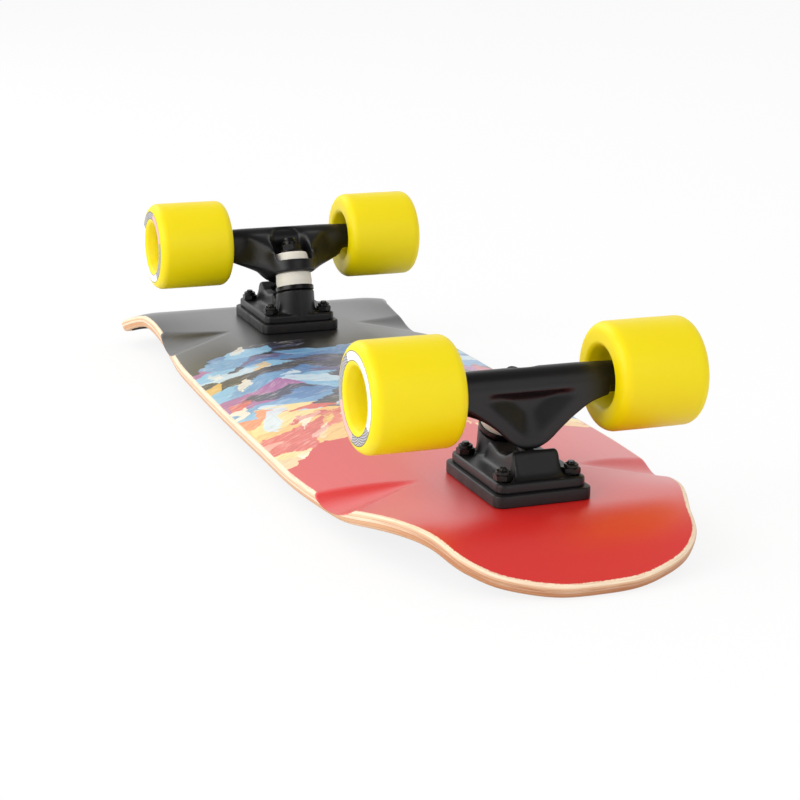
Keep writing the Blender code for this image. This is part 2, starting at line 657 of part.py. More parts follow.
def build_baseplate():
    """The casting: flange, pivot block, spine and kingpin boss."""
    outline = rounded_rectangle(FLANGE_WIDTH, FLANGE_LENGTH, PAD_CORNER)
    place = Matrix.Translation((0.0, PAD_OFFSET, 0.0))
    plate = flat_outline("baseplate", outline, FLANGE_BOTTOM_Z, FLANGE_TOP_Z, place)
    bevel(plate, FLANGE_CHAMFER)
    root = FLANGE_TOP_Z - SPINE_ROOT
    side = [(PIVOT_OFFSET + SPINE_OUTER_FOOT, root)]
    side += [(PIVOT_OFFSET + along * MM, PIVOT_HEIGHT + up * MM) for along, up in SPINE_AT_PIVOT]
    side += [(SEAT_OFFSET + SPINE_AT_SEAT[0] * MM, SEAT_HEIGHT + SPINE_AT_SEAT[1] * MM)]
    side += [(SEAT_OFFSET + SPINE_INNER_FOOT, root)]
    spine = flat_outline("spine", side[::-1], -SPINE_HALF_WIDTH, SPINE_HALF_WIDTH, SIDE_ON)
    for vertex in spine.data.vertices:
        vertex.co.x *= 1.0 - SPINE_TAPER * (vertex.co.z - FLANGE_TOP_Z)
    bevel(spine, SPINE_CHAMFER, 2)
    squash = Matrix.Diagonal((1.0, math.cos(KINGPIN_TILT), 1.0, 1.0))
    column = Matrix.Translation((0.0, SEAT_OFFSET, 0.0)) @ squash
    boss = cone("boss", BOSS_FOOT_RADIUS, BOSS_RADIUS, FLANGE_BOTTOM_Z + GAP,
                SEAT_HEIGHT + BOSS_RADIUS, column, BOSS_SIDES)
    reach = PAD_LENGTH
    above = box("above", (-reach, -reach, 0.0), (reach, reach, reach), frame_along(SEAT, KINGPIN_DIR))
    combine(boss, [above], "DIFFERENCE")
    combine(plate, [spine, boss], "UNION")
    along_pin = frame_along(SEAT, KINGPIN_DIR)
    bore = KINGPIN_RADIUS + PIN_CLEARANCE
    shaft = cone("shaft", bore, bore, KINGPIN_HEAD_START, KINGPIN_TIP, along_pin)
    pocket_place = Matrix.Translation((0.0, HEAD_POCKET_OFFSET, 0.0))
    pocket = cone("pocket", HEAD_POCKET_RADIUS, HEAD_POCKET_RADIUS, FLANGE_BOTTOM_Z - OVERSHOOT,
                  HEAD_POCKET_TOP, pocket_place)
    along_pivot = frame_along(PIVOT, STEER_DIR)
    socket_radius = PIVOT_PIN_RADIUS + PIN_CLEARANCE + PIVOT_CUP_WALL + GAP
    socket_depth = PIVOT_PIN_RADIUS + PIN_CLEARANCE + GAP
    socket = cone("socket", socket_radius, socket_radius, -socket_depth, PIVOT_SOCKET_END, along_pivot)
    channel = cone("channel", PIVOT_CHANNEL_RADIUS, PIVOT_CHANNEL_RADIUS, PIVOT_CUP_MOUTH + GAP,
                   PIVOT_ROOT * 2, along_pivot)
    combine(plate, [shaft, pocket, socket, channel], "DIFFERENCE")
    return combine(plate, bolt_hole_cutters(SLOT_TRAVEL), "DIFFERENCE")


def build_pivot_cup():
    """The liner that the hanger's pivot turns in."""
    inner = PIVOT_PIN_RADIUS + PIN_CLEARANCE
    outer = inner + PIVOT_CUP_WALL
    floor = -PIVOT_PIN_RADIUS - PIN_CLEARANCE
    steps = ROUND_STEPS // 4
    bowl = arc((0.0, 0.0), inner, 0.0, PIVOT_CUP_END_TURN, steps)
    hole = bowl[-1][0]
    profile = [(inner, PIVOT_CUP_MOUTH), (outer, PIVOT_CUP_MOUTH), (outer, floor), (hole, floor)]
    profile += list(reversed(bowl))[1:]
    return turned("pivot_cup", profile, ROUND_STEPS, frame_along(PIVOT, STEER_DIR))


def ring_profile(inner, outer, low, high):
    """Closed profile of a plain ring."""
    return [(outer, high), (outer, low), (inner, low), (inner, high)]


def build_kingpin():
    """The bolt through the bushings, its head in the pocket under the boss."""
    along_pin = frame_along(SEAT, KINGPIN_DIR)
    pin = cone("kingpin", KINGPIN_RADIUS, KINGPIN_RADIUS, KINGPIN_HEAD_START + KINGPIN_HEAD_LENGTH / 2,
               KINGPIN_TIP, along_pin, ROUND_STEPS)
    bevel(pin, KINGPIN_TIP_CHAMFER)
    head = cone("head", KINGPIN_HEAD_RADIUS, KINGPIN_HEAD_RADIUS, KINGPIN_HEAD_START,
                KINGPIN_HEAD_START + KINGPIN_HEAD_LENGTH, along_pin, ROUND_STEPS)
    return combine(pin, [head], "UNION")


def build_kingpin_nut():
    """The lock nut that sets the bushings' squeeze."""
    place = frame_along(SEAT + KINGPIN_DIR * KINGPIN_NUT_S, KINGPIN_DIR)
    return lock_nut("kingpin_nut", KINGPIN_NUT_FLATS, KINGPIN_NUT_LENGTH, KINGPIN_RADIUS + GAP, place)


def build_lower_bushing():
    """The barrel bushing between baseplate and hanger."""
    inner = KINGPIN_RADIUS + PIN_CLEARANCE
    low = LOWER_BUSHING_S
    high = low + LOWER_BUSHING_LENGTH
    middle = (low + high) / 2
    bulge = LOWER_BUSHING_RADIUS + LOWER_BUSHING_BULGE
    rise = LOWER_BUSHING_LENGTH / 4
    profile = [(LOWER_BUSHING_RADIUS, high), (bulge, middle + rise), (bulge, middle - rise),
               (LOWER_BUSHING_RADIUS, low), (inner, low), (inner, high)]
    return turned("lower_bushing", profile, FINE_STEPS, frame_along(SEAT, KINGPIN_DIR))


def build_upper_bushing():
    """The cone bushing in the hanger's pocket."""
    inner = KINGPIN_RADIUS + PIN_CLEARANCE
    low = UPPER_BUSHING_S
    high = low + UPPER_BUSHING_LENGTH
    waist = low + UPPER_BUSHING_LENGTH / 4
    profile = [(UPPER_BUSHING_TOP, high), (UPPER_BUSHING_FOOT, waist), (UPPER_BUSHING_FOOT, low),
               (inner, low), (inner, high)]
    return turned("upper_bushing", profile, FINE_STEPS, frame_along(SEAT, KINGPIN_DIR))


def build_cup_washer():
    """The dished washer that seats the lower bushing."""
    inner = KINGPIN_RADIUS + GAP
    low = CUP_BOTTOM_S
    floor = low + CUP_WASHER_THICKNESS
    lip = low + CUP_WASHER_LIP
    rim = CUP_WASHER_RADIUS - CUP_WASHER_WALL
    profile = [(CUP_WASHER_RADIUS, lip), (CUP_WASHER_RADIUS, low + CUP_WASHER_WALL), (rim, low),
               (inner, low), (inner, floor), (rim, floor), (rim, lip)]
    return turned("cup_washer", profile, FINE_STEPS, frame_along(SEAT, KINGPIN_DIR))


def build_flat_washer():
    """The washer under the kingpin nut."""
    low = FLAT_WASHER_S
    profile = ring_profile(KINGPIN_RADIUS + GAP, FLAT_WASHER_RADIUS, low, low + FLAT_WASHER_THICKNESS)
    return turned("flat_washer", profile, FINE_STEPS, frame_along(SEAT, KINGPIN_DIR))


def build_hanger():
    """The moving casting: axle beam, web with its panel, ring, pocket and pivot."""
    end = TRACK / 2 - SPACER_LENGTH / 2 - BEARING_WIDTH - HANGER_STAND_OFF
    core = AXLE_RADIUS / 2
    profile = [(core, end), (BEAM_END_RADIUS - BEAM_CHAMFER, end), (BEAM_END_RADIUS, end - BEAM_CHAMFER),
               (BEAM_RADIUS, BEAM_STRAIGHT), (BEAM_RADIUS, -BEAM_STRAIGHT),
               (BEAM_END_RADIUS, BEAM_CHAMFER - end), (BEAM_END_RADIUS - BEAM_CHAMFER, -end), (core, -end)]
    hanger = turned("hanger", profile, FINE_STEPS, ACROSS)
    half = [(out * MM, up * MM) for out, up in WEB_OUTLINE]
    mirrored = [(-out, up) for out, up in reversed(half) if out > 0]
    web = flat_outline("web", half + mirrored, -WEB_BACK, -WEB_FRONT, END_ON)
    for vertex in web.data.vertices:
        if vertex.co.y > 0 and vertex.co.z < 0:
            vertex.co.z *= WEB_BACK_RISE
    bevel(web, WEB_CHAMFER, 1, WEB_EDGE_ANGLE)
    along_pin = frame_along(SEAT, KINGPIN_DIR)
    ring_top = RING_S + RING_THICKNESS
    forward = Vector((0.0, KINGPIN_DIR.z, -KINGPIN_DIR.y))
    housing = cone("housing", RING_RADIUS, SHOULDER_RADIUS, RING_S, RING_S + SHOULDER_RISE)
    for vertex in housing.data.vertices:
        vertex.co.y -= (SHOULDER_RADIUS - RING_RADIUS) * (vertex.co.z - RING_S) / SHOULDER_RISE
    transformed(housing, along_pin)
    front_top = SEAT + KINGPIN_DIR * (ring_top + SHOULDER_LIP) + forward * RING_RADIUS
    lean = math.atan2(front_top.z, front_top.y) - math.asin(BEAM_RADIUS / front_top.length)
    lid_dir = Vector((0.0, -math.sin(lean), math.cos(lean)))
    reach = TRACK
    lid = box("lid", (-reach, -reach, 0.0), (reach, reach, reach), frame_along(front_top, lid_dir))
    combine(housing, [lid], "DIFFERENCE")
    along_pivot = frame_along(PIVOT, STEER_DIR)
    cup_clear = PIVOT_PIN_RADIUS + PIN_CLEARANCE + PIVOT_CUP_WALL + GAP
    around_cup = cone("around_cup", cup_clear, cup_clear, -PIVOT_ROOT, PIVOT_CUP_MOUTH + GAP, along_pivot)
    combine(web, [around_cup], "DIFFERENCE")
    ball = arc((0.0, 0.0), PIVOT_PIN_RADIUS, 0.0, -QUARTER_TURN, CORNER_STEPS)
    profile = [(0.0, PIVOT_ROOT), (PIVOT_NECK_RADIUS, PIVOT_ROOT), (PIVOT_PIN_RADIUS, PIVOT_CUP_MOUTH)]
    profile += ball[:-1] + [(0.0, -PIVOT_PIN_RADIUS)]
    pivot = turned("pivot", profile, FINE_STEPS, along_pivot, closed=False)
    combine(hanger, [web, housing, pivot], "UNION")
    combine(hanger, hanger_cutters(along_pin), "DIFFERENCE")
    return hanger


def hanger_cutters(along_pin):
    """The hanger's panel, pocket and bores."""
    corners = [(-PANEL_HALF_WIDTH, PANEL_TOP), (0.0, PANEL_BOTTOM), (PANEL_HALF_WIDTH, PANEL_TOP)]
    outline = rounded_polygon(corners, PANEL_CORNER, CORNER_STEPS)
    panel = flat_outline("panel", outline, -WEB_FRONT - PANEL_DEPTH, -WEB_FRONT + PANEL_DEPTH, END_ON)
    middle = Vector((0.0, WEB_FRONT + PANEL_DEPTH, (PANEL_TOP * 2 + PANEL_BOTTOM) / 3))
    for vertex in panel.data.vertices:
        scale = PANEL_FLOOR_SCALE if vertex.co.y > WEB_FRONT else 2.0 - PANEL_FLOOR_SCALE
        vertex.co.x *= scale
        vertex.co.z = middle.z + (vertex.co.z - middle.z) * scale
    ring_top = RING_S + RING_THICKNESS
    pocket_outline = rounded_rectangle(POCKET_HALF_WIDTH * 2, POCKET_FRONT - POCKET_BACK, POCKET_CORNER)
    pocket_place = along_pin @ Matrix.Translation((0.0, (POCKET_FRONT + POCKET_BACK) / 2, 0.0))
    reach = ring_top + SHOULDER_RADIUS * 2
    pocket = flat_outline("pocket", pocket_outline, ring_top, reach, pocket_place)
    lower_radius = LOWER_BUSHING_RADIUS + GAP
    lower = cone("lower_seat", lower_radius, lower_radius, LOWER_BUSHING_S, RING_S - GAP / 2, along_pin)
    bore = cone("ring_bore", RING_BORE_RADIUS, RING_BORE_RADIUS, 0.0, reach, along_pin)
    axle_bore = AXLE_RADIUS + GAP
    axle = cone("axle_bore", axle_bore, axle_bore, -TRACK, TRACK, ACROSS)
    return [panel, pocket, lower, bore, axle]


def build_axle():
    """The rod through the hanger."""
    end = TRACK / 2 + AXLE_TIP_REACH
    rod = cone("axle", AXLE_RADIUS, AXLE_RADIUS, -end, end, ACROSS, ROUND_STEPS)
    return bevel(rod, AXLE_TIP_CHAMFER)


def build_wheel():
    """The urethane tyre, turned about its middle, with a seat for each bearing."""
    half = WHEEL_WIDTH / 2
    seat_floor = SPACER_LENGTH / 2
    recess_floor = seat_floor + BEARING_WIDTH + GAP
    corner = (WHEEL_RADIUS - WHEEL_EDGE_ROUND, half - WHEEL_EDGE_ROUND)
    seat = BEARING_RADIUS + GAP
    upper = [(HUB_BORE_RADIUS, seat_floor - GAP), (seat, seat_floor - GAP), (seat, recess_floor),
             (RECESS_FLOOR_RADIUS, recess_floor), (RECESS_THROAT_RADIUS, half - RECESS_THROAT_DEPTH),
             (RECESS_MOUTH_RADIUS, half)]
    upper += arc(corner, WHEEL_EDGE_ROUND, 90.0, 0.0, WHEEL_EDGE_STEPS)
    lower = [(radius, -height) for radius, height in reversed(upper)]
    return turned("wheel", upper + lower, WHEEL_STEPS)


def build_bearing():
    """A ball bearing as one ring, from its inner face outward."""
    inner = AXLE_RADIUS + GAP
    low = SPACER_LENGTH / 2
    high = low + BEARING_WIDTH
    cut = BEARING_CHAMFER
    profile = [(BEARING_RADIUS - cut, high), (BEARING_RADIUS, high - cut), (BEARING_RADIUS, low),
               (inner, low), (inner, high)]
    return turned("bearing", profile, ROUND_STEPS)


def build_spacer():
    """The sleeve between a wheel's two bearings."""
    inner = AXLE_RADIUS + GAP
    half = SPACER_LENGTH / 2 - GAP
    return turned("spacer", ring_profile(inner, inner + SPACER_WALL, -half, half), ROUND_STEPS)


def build_axle_nut():
    """The lock nut on the axle's end."""
    return lock_nut("axle_nut", AXLE_NUT_FLATS, AXLE_NUT_LENGTH, AXLE_RADIUS + GAP)


def build_bolt():
    """A countersunk deck bolt, up from the grip face."""
    head_low = GRIP_BOTTOM_Z + GAP
    rim = head_low + BOLT_HEAD_RIM
    neck = head_low + BOLT_HEAD_LENGTH
    tip = LOCK_NUT_BOTTOM_Z + LOCK_NUT_LENGTH + BOLT_TIP_REACH
    shaft = cone("bolt", BOLT_RADIUS, BOLT_RADIUS, rim, tip, sides=ROUND_STEPS)
    bevel(shaft, BOLT_CHAMFER)
    head = cone("head", BOLT_HEAD_RADIUS, BOLT_RADIUS, rim, neck, sides=ROUND_STEPS)
    disc = cone("disc", BOLT_HEAD_RADIUS, BOLT_HEAD_RADIUS, head_low, rim, sides=ROUND_STEPS)
    combine(head, [disc], "UNION")
    return combine(head, [shaft], "UNION")


def build_lock_nut():
    """The lock nut on a deck bolt."""
    place = Matrix.Translation((0.0, 0.0, LOCK_NUT_BOTTOM_Z))
    return lock_nut("lock_nut", LOCK_NUT_FLATS, LOCK_NUT_LENGTH, BOLT_RADIUS + GAP, place)


def material(name, finish):
    """A node's own material."""
    colour, roughness, metallic = FINISHES[finish]
    made = bpy.data.materials.new(name)
    made.use_nodes = True
    shader = made.node_tree.nodes["Principled BSDF"]
    shader.inputs["Base Color"].default_value = (*colour, 1.0)
    shader.inputs["Roughness"].default_value = roughness
    shader.inputs["Metallic"].default_value = metallic
    made.diffuse_color = (*colour, 1.0)
    return made


def finish_mesh(obj):
    """Clean a finished mesh and shade its round faces smooth."""
    shape = bmesh.new()
    shape.from_mesh(obj.data)
    bmesh.ops.remove_doubles(shape, verts=shape.verts, dist=MERGE_DISTANCE)
    bmesh.ops.dissolve_degenerate(shape, edges=shape.edges, dist=MERGE_DISTANCE)
    shape.to_mesh(obj.data)
    shape.free()
    obj.data.shade_smooth()
    obj.data.set_sharp_from_angle(angle=SMOOTH_ANGLE)
    return obj.data


def node(name, mesh, finish, parent, matrix=Matrix()):
    """Place a named piece in its parent's frame, with a material of its own."""
    obj = add_object(name, mesh.copy(), BOARD)
    obj.data.name = name
    obj.data.materials.clear()
    obj.data.materials.append(material(name, finish))
    obj.parent = parent
    obj.matrix_local = matrix
    return obj


def empty(name, parent, matrix):
    """A frame to hang pieces on."""
    obj = bpy.data.objects.new(name, None)
    BOARD.objects.link(obj)
    obj.parent = parent
    obj.matrix_local = matrix
    return obj


def build_parts():
    """Model each kind of piece once and return the finished meshes."""
    makers = {
        "deck": build_deck, "grip": build_grip, "riser": build_riser, "baseplate": build_baseplate,
        "pivot_cup": build_pivot_cup, "kingpin": build_kingpin, "kingpin_nut": build_kingpin_nut,
        "lower_bushing": build_lower_bushing, "upper_bushing": build_upper_bushing,
        "cup_washer": build_cup_washer, "flat_washer": build_flat_washer, "hanger": build_hanger,
        "axle": build_axle, "wheel": build_wheel, "bearing": build_bearing, "spacer": build_spacer,
        "axle_nut": build_axle_nut, "bolt": build_bolt, "lock_nut": build_lock_nut,
    }
    meshes = {}
    for kind, maker in makers.items():
        made = maker()
        meshes[kind] = finish_mesh(made)
        bpy.data.objects.remove(made, do_unlink=True)
    return meshes


def place_truck(name, frame, meshes, root):
    """Hang one truck's pieces on its frame."""
    truck = empty("truck_" + name, root, frame)
    fixed = {
        "riser_pad": ("riser", "rubber"), "baseplate": ("baseplate", "cast_black"),
        "pivot_cup": ("pivot_cup", "rubber"), "kingpin": ("kingpin", "steel_black"),
        "kingpin_nut": ("kingpin_nut", "steel_black"), "cup_washer": ("cup_washer", "steel_black"),
        "lower_bushing": ("lower_bushing", "urethane_cream"),
        "upper_bushing": ("upper_bushing", "urethane_cream"), "flat_washer": ("flat_washer", "steel_black"),
    }
    for label, (kind, finish) in fixed.items():
        node(label + "_" + name, meshes[kind], finish, truck)
    for spot, ((across, along), _) in bolt_places().items():
        place = Matrix.Translation((across, along, 0.0))
        node("deck_bolt_" + name + "_" + spot, meshes["bolt"], "steel_black", truck, place)
        node("lock_nut_" + name + "_" + spot, meshes["lock_nut"], "steel_black", truck, place)
    steer = empty("steer_" + name, truck, Matrix.Translation(PIVOT))
    back = Matrix.Translation(-PIVOT)
    node("hanger_" + name, meshes["hanger"], "cast_black", steer, back)
    node("axle_" + name, meshes["axle"], "steel", steer, back)
    for side, turn in (("left", -1), ("right", 1)):
        label = name + "_" + side
        sign = turn if name == "near" else -turn
        outward = Matrix.Rotation(sign * math.pi / 2, 4, "Y")
        hub = back @ Matrix.Translation((sign * TRACK / 2, 0.0, 0.0)) @ outward
        flip = hub @ Matrix.Rotation(math.pi, 4, "X")
        node("wheel_" + label, meshes["wheel"], "urethane_yellow", steer, hub)
        node("bearing_outer_" + label, meshes["bearing"], "steel", steer, hub)
        node("bearing_inner_" + label, meshes["bearing"], "steel", steer, flip)
        node("spacer_" + label, meshes["spacer"], "steel", steer, hub)
        nut_start = SPACER_LENGTH / 2 + BEARING_WIDTH + HANGER_STAND_OFF
        nut_place = hub @ Matrix.Translation((0.0, 0.0, nut_start))
        node("axle_nut_" + label, meshes["axle_nut"], "steel", steer, nut_place)


def main():
    """Build the board and stand it on its kicks."""
    meshes = build_parts()
    root = empty("board", None, Matrix())
    deck = node("deck", meshes["deck"], "painted_wood", root)
    grip = node("grip_sheet", meshes["grip"], "grip", root)
    lowest = min(vertex.co.z for piece in (deck, grip) for vertex in piece.data.vertices)
    for name, frame in truck_frames().items():
        place_truck(name, frame, meshes, root)
    root.location.z = -lowest
    bpy.data.collections.remove(WORKSHOP)


clear_scene()
BOARD = new_collection("cruiser_skateboard")
WORKSHOP = new_collection("workshop")
main()
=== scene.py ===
"""Looks of a cruiser skateboard that lies upside down with its wheels up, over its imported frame.

Solids are shaped in millimetres about the middle of their own truck, wheel or board, and are
brought to metres and to their place in the frame when they are delivered.
"""
import logging
import math
from collections.abc import Callable, Iterator, Sequence
from contextlib import contextmanager
from dataclasses import dataclass, field
from enum import Enum

import bmesh
import bpy
import numpy as np
from mathutils import Matrix, Vector
from mathutils.kdtree import KDTree


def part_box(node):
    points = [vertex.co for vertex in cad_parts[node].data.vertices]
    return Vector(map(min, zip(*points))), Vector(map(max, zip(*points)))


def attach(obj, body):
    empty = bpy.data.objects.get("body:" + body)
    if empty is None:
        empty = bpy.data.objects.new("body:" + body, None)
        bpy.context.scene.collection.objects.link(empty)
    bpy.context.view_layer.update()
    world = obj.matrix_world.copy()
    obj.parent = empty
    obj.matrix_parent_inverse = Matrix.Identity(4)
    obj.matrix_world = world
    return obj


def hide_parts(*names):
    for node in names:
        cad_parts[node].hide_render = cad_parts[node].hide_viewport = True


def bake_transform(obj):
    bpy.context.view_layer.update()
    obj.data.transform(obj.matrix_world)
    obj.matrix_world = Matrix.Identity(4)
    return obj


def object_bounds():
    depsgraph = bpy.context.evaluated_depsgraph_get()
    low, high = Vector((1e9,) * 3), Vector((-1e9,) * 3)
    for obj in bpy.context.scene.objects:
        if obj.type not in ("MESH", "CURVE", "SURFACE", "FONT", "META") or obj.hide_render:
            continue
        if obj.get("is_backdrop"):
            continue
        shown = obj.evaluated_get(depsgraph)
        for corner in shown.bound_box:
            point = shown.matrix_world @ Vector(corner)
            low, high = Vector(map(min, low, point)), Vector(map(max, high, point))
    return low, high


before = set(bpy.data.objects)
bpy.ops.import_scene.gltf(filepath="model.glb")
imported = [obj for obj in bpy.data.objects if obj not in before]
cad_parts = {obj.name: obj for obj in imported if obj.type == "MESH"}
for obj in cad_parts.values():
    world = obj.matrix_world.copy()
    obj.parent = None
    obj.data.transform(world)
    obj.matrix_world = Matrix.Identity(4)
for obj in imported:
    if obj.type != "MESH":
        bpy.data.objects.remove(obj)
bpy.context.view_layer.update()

LOG = logging.getLogger("cruiser")
# Metres in a millimetre, and the clearance between neighbouring pieces in millimetres.
MM = 0.001
FIT = 0.05
Point = tuple[float, float]
Corner = tuple[float, float, float]
Colour = tuple[float, float, float, float]
Stops = tuple[tuple[float, Colour], ...]
EdgeTest = Callable[[bmesh.types.BMEdge], bool]
BLANK: Colour = (0.0, 0.0, 0.0, 1.0)
FULL: Colour = (1.0, 1.0, 1.0, 1.0)
ALONG_X = Matrix.Rotation(math.pi / 2, 4, "Y")
END_ON = Matrix.Rotation(math.pi / 2, 4, "X")
SIDE_ON = Matrix.Rotation(math.pi / 2, 4, "Z") @ END_ON


class Slot(Enum):
    """Material slots of the record."""

    MAPLE = "painted_maple"
    GRIP = "grip"
    RUBBER = "rubber"
    CAST = "cast_black"
    BLACK_STEEL = "steel_black"
    STEEL = "steel"
    YELLOW = "urethane_yellow"
    CREAM = "urethane_cream"


class Side(Enum):
    """Sides of the board, as signs along X."""

    LEFT = -1
    RIGHT = 1


def srgb(red: float, green: float, blue: float) -> Colour:
    """Turn a screen colour into a linear one.

    Args:
        red: Red, 0 to 255.
        green: Green, 0 to 255.
        blue: Blue, 0 to 255.

    Returns:
        The linear colour with full alpha.
    """
    shares = [value / 255 for value in (red, green, blue)]
    linear = [share / 12.92 if share < 0.04045 else ((share + 0.055) / 1.055) ** 2.4 for share in shares]
    return (*linear, 1.0)


# ---------------------------------------------------------------- shader maths


class Signal:
    """A shader value that Python's operators act on; each operation adds its Math node."""

    def __init__(self, web: "NodeWeb", socket: bpy.types.NodeSocket) -> None:
        """Hold a socket and the web that it is in."""
        self.web = web
        self.socket = socket

    def math(self, operation: str, *values: "Signal | float") -> "Signal":
        """Add a Math node that starts from the first of the values."""
        return self.web.add("ShaderNodeMath", {"operation": operation}, dict(enumerate(values)))

    def __add__(self, other: "Signal | float") -> "Signal":
        """Sum."""
        return self.math("ADD", self, other)

    __radd__ = __add__

    def __sub__(self, other: "Signal | float") -> "Signal":
        """Difference."""
        return self.math("SUBTRACT", self, other)

    def __rsub__(self, other: "Signal | float") -> "Signal":
        """Difference from a number."""
        return self.math("SUBTRACT", other, self)

    def __mul__(self, other: "Signal | float") -> "Signal":
        """Product."""
        return self.math("MULTIPLY", self, other)

    __rmul__ = __mul__

    def __truediv__(self, other: "Signal | float") -> "Signal":
        """Quotient."""
        return self.math("DIVIDE", self, other)

    def __pow__(self, other: "Signal | float") -> "Signal":
        """Power."""
        return self.math("POWER", self, other)

    def __abs__(self) -> "Signal":
        """Size without sign."""
        return self.math("ABSOLUTE", self)

    def above(self, limit: "Signal | float") -> "Signal":
        """1 where the value is over a limit, else 0."""
        return self.math("GREATER_THAN", self, limit)

    def at_least(self, floor: "Signal | float") -> "Signal":
        """The larger of the value and a floor."""
        return self.math("MAXIMUM", self, floor)

    def at_most(self, roof: "Signal | float") -> "Signal":
        """The smaller of the value and a roof."""
        return self.math("MINIMUM", self, roof)

    def wave(self) -> "Signal":
        """Sine."""
        return self.math("SINE", self)

    def ease(self, low: float, high: float) -> "Signal":
        """Turn softly from 0 at one value to 1 at another."""
        inputs = {"Value": self, "From Min": low, "From Max": high}
        return self.web.add("ShaderNodeMapRange", {"interpolation_type": "SMOOTHSTEP"}, inputs)

    def near(self, value: float, half: float, soft: float) -> "Signal":
        """1 within half of a value, falling softly to 0 outside it."""
        return 1 - abs(self - value).ease(half, half + soft)

    def between(self, low: float, high: float) -> "Signal":
        """Spread a 0 to 1 share over a range."""
        return self * (high - low) + low


class NodeWeb:
    """The nodes of one material or world."""

    def __init__(self, owner: bpy.types.Material | bpy.types.World) -> None:
        """Switch the owner's nodes on."""
        owner.use_nodes = True
        self.tree = owner.node_tree

    @property
    def shader(self) -> bpy.types.Node:
        """The Principled shader."""
        return self.tree.nodes["Principled BSDF"]

    def add(self, kind: str, settings: dict | None = None, inputs: dict | None = None,
            output: int | str = 0) -> Signal:
        """Add a node.

        Args:
            kind: The node's type.
            settings: Its own settings, or "stops" for a ramp's colours, set before the inputs.
            inputs: Values or signals by socket name or number.
            output: Which of its outputs to return.

        Returns:
            The chosen output.
        """
        node = self.tree.nodes.new(kind)
        for name, value in (settings or {}).items():
            if name == "stops":
                self._set_stops(node.color_ramp, value)
            else:
                setattr(node, name, value)
        for name, value in (inputs or {}).items():
            self._feed(node.inputs[name], value)
        return Signal(self, node.outputs[output])

    def _feed(self, socket: bpy.types.NodeSocket, value: "Signal | float | Sequence[float]") -> None:
        """Link a signal to a socket, or set its value.

        Args:
            socket: The socket.
            value: The signal, or a plain value.
        """
        if isinstance(value, Signal):
            self.tree.links.new(value.socket, socket)
        else:
            socket.default_value = value

    @staticmethod
    def _set_stops(ramp: bpy.types.ColorRamp, stops: Stops) -> None:
        """Give a colour ramp its stops, with flat steps between them.

        Args:
            ramp: The ramp.
            stops: Positions and colours in rising order.
        """
        ramp.interpolation = "CONSTANT"
        while len(ramp.elements) < len(stops):
            ramp.elements.new(1.0)
        for element, (position, colour) in zip(ramp.elements, stops):
            element.position = position
            element.color = colour

    def wear(self, **inputs: "Signal | float | Sequence[float]") -> None:
        """Feed the shader; underscores in names stand for spaces."""
        for name, value in inputs.items():
            self._feed(self.shader.inputs[name.replace("_", " ")], value)

    def place(self) -> Signal:
        """Object coordinates, which are the part's own frame in metres."""
        return self.add("ShaderNodeTexCoord", output="Object")

    def attribute(self, name: str, output: str = "Fac") -> Signal:
        """A value that the mesh carries."""
        return self.add("ShaderNodeAttribute", {"attribute_name": name}, output=output)

    def split(self, vector: Signal) -> tuple[Signal, Signal, Signal]:
        """Take a vector apart.

        Args:
            vector: The vector.

        Returns:
            Its three numbers.
        """
        first = self.add("ShaderNodeSeparateXYZ", inputs={0: vector})
        outputs = first.socket.node.outputs
        return first, Signal(self, outputs[1]), Signal(self, outputs[2])

    def stretched(self, vector: Signal, scale: Sequence[float], turn: float = 0.0) -> Signal:
        """Turn a vector about Z and scale it."""
        turned = self.add("ShaderNodeMapping", inputs={"Vector": vector, "Rotation": (0.0, 0.0, turn)})
        return self.add("ShaderNodeVectorMath", {"operation": "MULTIPLY"}, {0: turned, 1: scale})

    def noise(self, vector: Signal, scale: float, detail: float = 2.0, rough: float = 0.5,
              output: int = 0) -> Signal:
        """Cloudy noise, centred on about one half."""
        inputs = {"Vector": vector, "Scale": scale, "Detail": detail, "Roughness": rough}
        return self.add("ShaderNodeTexNoise", inputs=inputs, output=output)

    def cells(self, vector: Signal) -> Signal:
        """Random colours of flat cells about scattered points, one unit apart."""
        inputs = {"Vector": vector, "Scale": 1.0}
        return self.add("ShaderNodeTexVoronoi", {"voronoi_dimensions": "2D"}, inputs, "Color")

    def drifted(self, vector: Signal, scale: float, reach: float) -> Signal:
        """Push a vector about with noise.

        Args:
            vector: The vector.
            scale: The noise's scale.
            reach: How far the noise pushes.

        Returns:
            The pushed vector.
        """
        push = self.noise(vector, scale, 2.0, output=1)
        centred = self.add("ShaderNodeVectorMath", {"operation": "SUBTRACT"}, {0: push, 1: (0.5, 0.5, 0.5)})
        scaled = self.add("ShaderNodeVectorMath", {"operation": "SCALE"}, {0: centred, "Scale": reach})
        return self.add("ShaderNodeVectorMath", {"operation": "ADD"}, {0: vector, 1: scaled})

    def ramp(self, share: Signal, stops: Stops) -> Signal:
        """Colours along a share, in flat steps."""
        return self.add("ShaderNodeValToRGB", {"stops": stops}, {0: share})

    def mix(self, share: "Signal | float", low: "Signal | Colour", high: "Signal | Colour") -> Signal:
        """Mix two colours."""
        return self.add("ShaderNodeMix", {"data_type": "RGBA"}, {0: share, 6: low, 7: high}, 2)

    def bump(self, height: Signal, distance: float, strength: float = 1.0) -> Signal:
        """A normal tilted by a height field."""
        inputs = {"Height": height, "Distance": distance, "Strength": strength}
        return self.add("ShaderNodeBump", inputs=inputs)


# ---------------------------------------------------------------- finishes


